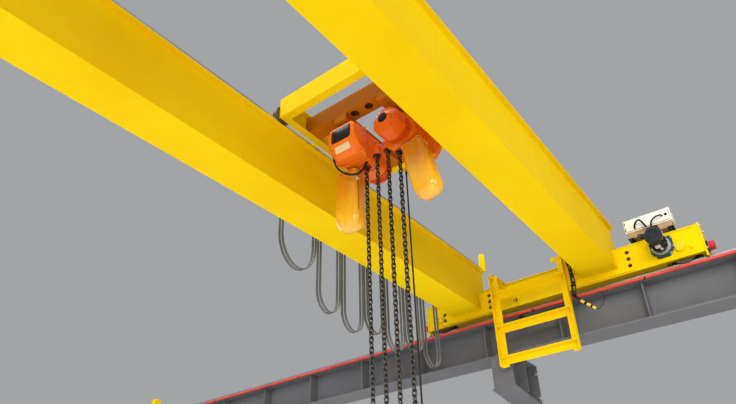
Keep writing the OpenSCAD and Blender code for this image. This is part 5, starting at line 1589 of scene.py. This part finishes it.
@dataclass
class Cabinet(Assembly):
    """The control cabinet on the truck, with its door, floor tray and glands; the tray's tan paints the shade
    under the cabinet.
    """

    low: Point = (5.0, -1510.0, -254.0)
    high: Point = (175.0, -1070.0, -54.0)

    def build(self) -> None:
        """Builds the cabinet."""
        self.body = "bridge"
        (x0, y0, z0), (x1, y1, z1) = self.low, self.high
        low = z0 + 62
        body = Shape().prism(rounded(y0, y1, low, z1, 7, 3), "X", x0 + 5, x1, bevel=1.5)
        body.prism(rounded(y0 + 10, y1 - 10, low + 9, z1 - 8, 5, 3), "X", x0 + 1, x0 + 8, bevel=1)
        body.prism([(x0 + 6, z1 - 2), (x0 + 1, z1 - 1), (x0 + 1, z1), (x1, z1), (x1, z1 - 2)], "Y",
                   y0 + 2, y1 - 2, bevel=0.4)
        self.piece(body, "cabinet_body", Finish.IVORY, replaces=["control_cabinet"])
        door = Shape().prism(rounded(y0 + 13, y1 - 13, low + 12, z1 - 11, 5, 3), "X", x0 - 4,
                             x0 + 0.6, bevel=1.6)
        door.prism(rounded(y0 + 30, y1 - 30, low + 26, z1 - 26, 4, 3), "X", x0 - 4.6, x0 - 3, bevel=0.6)
        self.piece(door, "cabinet_door", Finish.IVORY)
        middle = (low + z1) / 2
        seal = Shape().prism(rounded(y0 + 11, y1 - 11, low + 10, z1 - 9, 5, 3), "X", x0 + 0.4, x0 + 2)
        for z in (low + 34, z1 - 34):
            seal.disc((x0 - 1, y1 - 11, z), "Z", 5, -14, 14, 1, 16)
        seal.lathe([(13, -6), (13, -2), (11, 0), (0.1, 0)], (x0 - 4, y0 + 42, middle), "X", 24)
        seal.box((x0 - 12, y0 + 39, middle - 9), (x0 - 9, y0 + 45, middle + 9), 0.8)
        self.piece(seal, "cabinet_seal", Finish.INSULATOR)
        # The tray's tan is painted shade: the underside of the ivory cabinet as it looks in shade.
        tray = Shape().box((x0 + 12, y0 + 16, z0), (x1 - 6, y1 - 16, low + 1), 3)
        for k in range(6):
            tray.box((x0 + 10, y0 + 60 + k * 56, z0 + 12), (x0 + 13, y0 + 96 + k * 56, z0 + 20), 1)
        self.piece(tray, "cabinet_tray_painted_shade", Finish.CABINET_PAINTED_SHADE)
        glands = Shape()
        for k in range(4):
            at = (66 + (k % 2) * 6, -1214 - k * 52 if k > 1 else -1246 + k * 32, z0)
            glands.disc(at, "Z", 15, -8, 2, 1.5, 6).disc(at, "Z", 11, -18, -6, 2, 20)
        self.piece(glands, "cabinet_glands", Finish.INSULATOR)
        bolts = Shape()
        for y in (y0 + 34, y1 - 34):
            for side in (-1, 1):
                bolts.bolts([(x, y + side * 16, -314) for x in (30, 150)], "Z", 1, 13, 6)
        self.piece(bolts, "cabinet_bolts", Finish.ZINC)
        leads = Shape().tube([(20, -1287, -256), (-16, -1285, -232), (-46, -1264, -180), (-54, -1240, -128),
                              (-48, -1206, -122), (-28, -1176, -150), (2, -1166, -170)], 9, 12)
        leads.tube([(22, -1312, -256), (-18, -1316, -226), (-50, -1334, -178), (-56, -1376, -148),
                    (-44, -1420, -136), (2, -1436, -128)], 8, 12)
        self.piece(leads, "cabinet_leads", Finish.RUBBER)


@dataclass
class CollectorTrim(Assembly):
    """Bolts, cables, connectors, arm and shoe of the collector frame."""

    x: float = -200.0
    left: float = 330.0
    right: float = -470.0
    top: float = -300.0
    drops: tuple[float, ...] = (205.0, 570.0, 895.0)
    bar_x: float = -116.0
    bar_z: float = -758.0
    shoe_y: float = 60.0
    plug_turn: float = 134.0

    def frame_bolts(self) -> None:
        """Builds the bolts where the angles meet."""
        shape = Shape()
        for drop in self.drops:
            for y in (self.left - 34, self.right + 34):
                shape.bolts([(self.x - 6, y - dy, self.top - drop - 24 - dz)
                             for dy, dz in ((-10, 0), (10, 22))],
                            "X", -1, 16, 8)
        for y in (self.left - 3, self.right + 3):
            out = 1 if y > 0 else -1
            shape.bolts([(self.x - dx, y + out * 3, self.top - 30) for dx in (26, 52)], "Y", out, 16, 8)
        y = self.right + 69
        shape.box((self.x - 6, y, self.top - 50), (self.x - 0.2, y + 58, self.top - 2), 1.5)
        self.piece(shape, "frame_bolts", Finish.YELLOW)

    def cables(self) -> None:
        """Builds the cable bundle beside the right upright, down to its connectors."""
        cables, ties, plugs, ends = Shape(), Shape(), Shape(), Shape()
        for k, (dx, dy) in enumerate(((0, 0), (-16, 9), (-4, -15))):
            x, y = self.x - 35 + dx, self.right + dy
            cables.tube([(130 - k * 14, self.right + 18, -308), (60, self.right + 18, -304),
                         (-120, y + 6, -304), (-190, y - 14, -322), (x + k * 5, y - 44, -390),
                         (x - k * 6, y - 68 + k * 6, -490), (x + k * 8, y - 52 - k * 5, -640),
                         (x, y - 43, -776), (x, y - 50, -794), (x, y - 66, -812 + k * 5),
                         (x, y - 86, -832 + k * 5)], 7, 10, 24)
        for y, z in ((-62, -452), (-62, -560), (-54, -680), (-46, -780)):
            ties.box((self.x - 64, self.right + y - 24, z), (self.x - 24, self.right + y + 18, z + 7), 3)
        for dx, dy, dz in ((0, 0, 0), (-15, -54, -52)):
            turn = Matrix.Translation((self.x - 35 + dx, -558 + dy, -832 + dz)) @ Matrix.Rotation(
                math.radians(self.plug_turn), 4, "X")
            plugs.turn = ends.turn = turn
            plugs.lathe([(9, 12), (13, 16), (13, 52), (10, 58)], (0, 0, 0), "Z", 20)
            plugs.lathe([(10, 76), (13, 80), (13, 108), (8, 114)], (0, 0, 0), "Z", 20)
            ends.lathe([(8, -6), (11, 0), (11, 14)], (0, 0, 0), "Z", 20)
            ends.lathe([(11, 56), (14, 58), (14, 76), (11, 78)], (0, 0, 0), "Z", 20)
        cables.tube([(-250, -693, -962), (-246, -716, -968), (-238, -752, -940), (-235, -789, -868),
                     (-235, -770, -808), (-235, -730, -806), (-235, -690, -840)], 3, 8, 12)
        self.piece(cables, "frame_cables", Finish.RUBBER)
        self.piece(ties, "frame_ties", Finish.INSULATOR)
        self.piece(plugs, "cable_plugs", Finish.STATION)
        self.piece(ends, "cable_plug_ends", Finish.INSULATOR)

    def collector(self) -> None:
        """Builds the sprung arm and the shoe in the slot of the conductor bar."""
        y, z = self.shoe_y, self.bar_z - 70
        foot_top = self.top - self.drops[1]
        arm = Shape().box((self.x - 11.5, y - 19, foot_top), (self.x - 0.3, y + 19, self.bar_z - 51), 2)
        for rise in (-6, 14):
            for dy in (-12, 12):
                arm.tube([(self.x - 4, y + dy, z + rise), (self.bar_x, y + dy, z + rise)], 4, 10,
                         smooth=False)
        arm.box((self.bar_x - 7.5, y - 58, z - 5), (self.bar_x + 7.5, y + 58, self.bar_z - 50), 3)
        self.piece(arm, "collector_links", Finish.INSULATOR, replaces=["collector_arm"])
        shoe = Shape().box((self.bar_x - 4.7, y - 49, self.bar_z - 51),
                           (self.bar_x + 4.7, y + 49, self.bar_z + 12), 2)
        shoe.bolts([(self.bar_x - 7.5, y + dy, z + 8) for dy in (-40, 40)], "X", -1, 9, 4)
        coil = []
        for k in range(73):
            angle = 2 * math.pi * k / 8
            coil.append((self.x + 12 + k * 0.8, y + 7 * math.cos(angle), z + 4 + 7 * math.sin(angle)))
        shoe.tube(coil, 1.3, 6, smooth=False)
        self.piece(shoe, "collector_shoe", Finish.HOOK)

    def build(self) -> None:
        """Builds the trim."""
        self.body = "bridge"
        self.frame_bolts()
        self.cables()
        self.collector()


@dataclass
class TrackTrim(Assembly):
    """Bolts of the cable track's brackets."""

    first_x: float = -240.0
    spans: int = 8
    web_y: float = 900.0
    track_y: float = 1050.0
    top: float = -84.0

    def build(self) -> None:
        """Builds the trim."""
        self.body = "bridge"
        shape = Shape()
        for k in range(self.spans + 1):
            x = self.first_x + k * (NEAR_FACE - 2 * self.first_x) / self.spans
            shape.bolts([(x, self.web_y + 8, self.top - 34)], "Y", 1, 18, 8)
            shape.bolts([(x, self.track_y + dy, self.top + 8) for dy in (-12, 6)], "Z", 1, 12, 6)
        self.piece(shape, "track_bolts", Finish.ZINC)


# Runway


@dataclass
class RunwayTrim(Assembly):
    """Rail clips, bracket bolts, stop pads and conductor fittings of the runway."""

    rail_x: float = 90.0
    beam_top: float = -718.0
    left: float = 6600.0
    right: float = 2600.0
    column_x: float = 510.0
    corbel_y: tuple[float, ...] = (400.0, 5400.0)
    corbel_mid: float = -1323.0
    bar_x: float = -116.0
    bar_top: float = -730.0
    bar_w: float = 23.0
    bar_h: float = 25.0
    joint_y: tuple[float, ...] = (-1150.0, -43.0, 1600.0, 3200.0, 4800.0)
    stop_z: float = -529.7
    foot_top: float = -1092.0

    def clips(self, near: bool) -> None:
        """Builds the clips that hold a crane rail, and the bolts of the brackets."""
        end = "near" if near else "far"
        clips, bolts = Shape(), Shape()
        count = 15
        for k in range(count):
            y = -self.right + 160 + k * (self.left + self.right - 320) / (count - 1)
            for side in (-1, 1):
                x = self.rail_x + side * 64
                clips.prism([(x - side * 22, self.beam_top + 17), (x - side * 22, self.beam_top + 11),
                             (x - side * 14, self.beam_top + 1), (x + side * 22, self.beam_top + 1),
                             (x + side * 22, self.beam_top + 12), (x + side * 16, self.beam_top + 17)], "Y",
                            y - 28, y + 28, bevel=2)
                bolts.bolts([(x + side * 2, y, self.beam_top + 17)], "Z", 1, 24, 12)
        self.finish_end(clips, f"rail_clips_{end}", Finish.GREY, near)
        for y in self.corbel_y:
            bolts.bolts([(self.column_x - 14, y + a * 112, self.corbel_mid + b * 129) for a in (-1, 1)
                         for b in (-1, 1)], "X", -1, 36, 16)
            bolts.bolts([(self.rail_x + a * 118, y + b * 60, self.foot_top) for a in (-1, 1)
                         for b in (-1, 1)],
                        "Z", 1, 26, 12)
        self.finish_end(bolts, f"runway_bolts_{end}", Finish.ZINC, near)

    @staticmethod
    def finish_end(shape: Shape, name: str, finish: Finish, near: bool) -> None:
        """Finishes a piece of one side of the runway."""
        shape.finish(name, finish, "runway", near=near)

    def stops(self, near: bool) -> None:
        """Builds the rubber pads on the wheel stops."""
        pads = Shape()
        for y, out in ((self.left - 110, -1), (110 - self.right, 1)):
            for t, r in ((0, 40), (4, 34)):
                pads.disc((self.rail_x, y, self.stop_z), "Y", r, out * t, out * (t + 3.8), 1)
        self.finish_end(pads, f"stop_pads_{'near' if near else 'far'}", Finish.RUBBER, near)

    def conductor(self) -> None:
        """Builds the slotted housing of the conductor bar with its joints, end caps and hanger jaws."""
        start, end = 60 - self.right, self.left - 60
        half, low, high, wall = self.bar_w / 2, self.bar_top - self.bar_h, self.bar_top, 3.5
        lip = half - 6.5
        slotted = [(-lip, low), (-half, low), (-half, high - 5), (5 - half, high), (half - 5, high),
                   (half, high - 5), (half, low), (lip, low), (lip, low + wall), (half - wall, low + wall),
                   (half - wall, high - 6), (half - 6, high - wall), (6 - half, high - wall),
                   (wall - half, high - 6), (wall - half, low + wall),
                   (-lip, low + wall)]
        section = [(self.bar_x + a, b) for a, b in slotted]
        self.piece(Shape().prism(section, "Y", start, end), "bar_housing", Finish.RED_HOUSING,
                   replaces=["conductor_bar"])
        collar = [(self.bar_x + a * 1.12, self.bar_top - 1.5 + (b - self.bar_top) * 1.06) for a, b in slotted]
        joints, jaws = Shape(), Shape()
        for y in self.joint_y:
            joints.prism(collar, "Y", y - 7, y + 7, bevel=0.8)
        closed = [(self.bar_x + a, b) for a, b in chamfered(-half - 3, half + 3, low - 3, high, 4)]
        for y, out in ((end, 1), (start, -1)):
            near, far = sorted((y + out * 0.5, y + out * 14))
            joints.prism(closed, "Y", near, far, bevel=2)
        for k in range(8):
            y = -self.right + 240 + 1250 * k
            for side in (-1, 1):
                near, far = sorted((self.bar_x + side * (half + 0.4), self.bar_x + side * (half + 4.4)))
                jaws.box((near, y - 12, low + 8), (far, y + 12, high + 4), 1)
        self.piece(joints, "bar_joints", Finish.INSULATOR)
        self.piece(jaws, "bar_jaws", Finish.RED_HOUSING)

    def build(self) -> None:
        """Builds both sides."""
        self.body = "runway"
        for near in (False, True):
            self.clips(near)
            self.stops(near)
        self.conductor()


def main() -> None:
    """Builds the scene over the frame."""
    logging.basicConfig(level=logging.INFO, format="%(name)s: %(message)s")
    Camera().make()
    Pendant().build()
    dress_nodes()
    Festoon().build()
    for k, x in enumerate(Festoon.carrier_x):
        CarrierTrim(k + 1, x).build()
    Hoist("left", front=-2865.0, axis_y=181.0, motor_end=556.0).build()
    Hoist("right", front=-2264.0, axis_y=-225.0, motor_end=624.0, cover_l=150.0, backwards=True).build()
    buckets = (Bucket("left", pin_y=273.0, lean=0.0, more=24.0), Bucket("right", pin_y=-317.0, lean=12.0))
    for assembly in (ChainGuides(), ChainFalls(), *buckets, HookBlock(), TrolleyTrim(), TrolleyDrive()):
        assembly.build()
    for row, x in zip(("front", "rear"), TrolleyTrim.axle_x):
        for column, side in (("left", 1), ("right", -1)):
            TrolleyWheelCap(f"{row}_{column}", x, side).build()
    for near in (False, True):
        TravelDrive(near).build()
        Truck(near).build()
    for assembly in (Girders(), Cabinet(), CollectorTrim(), TrackTrim(), RunwayTrim()):
        assembly.build()
    Studio().make()


if __name__ == "__main__":
    main()
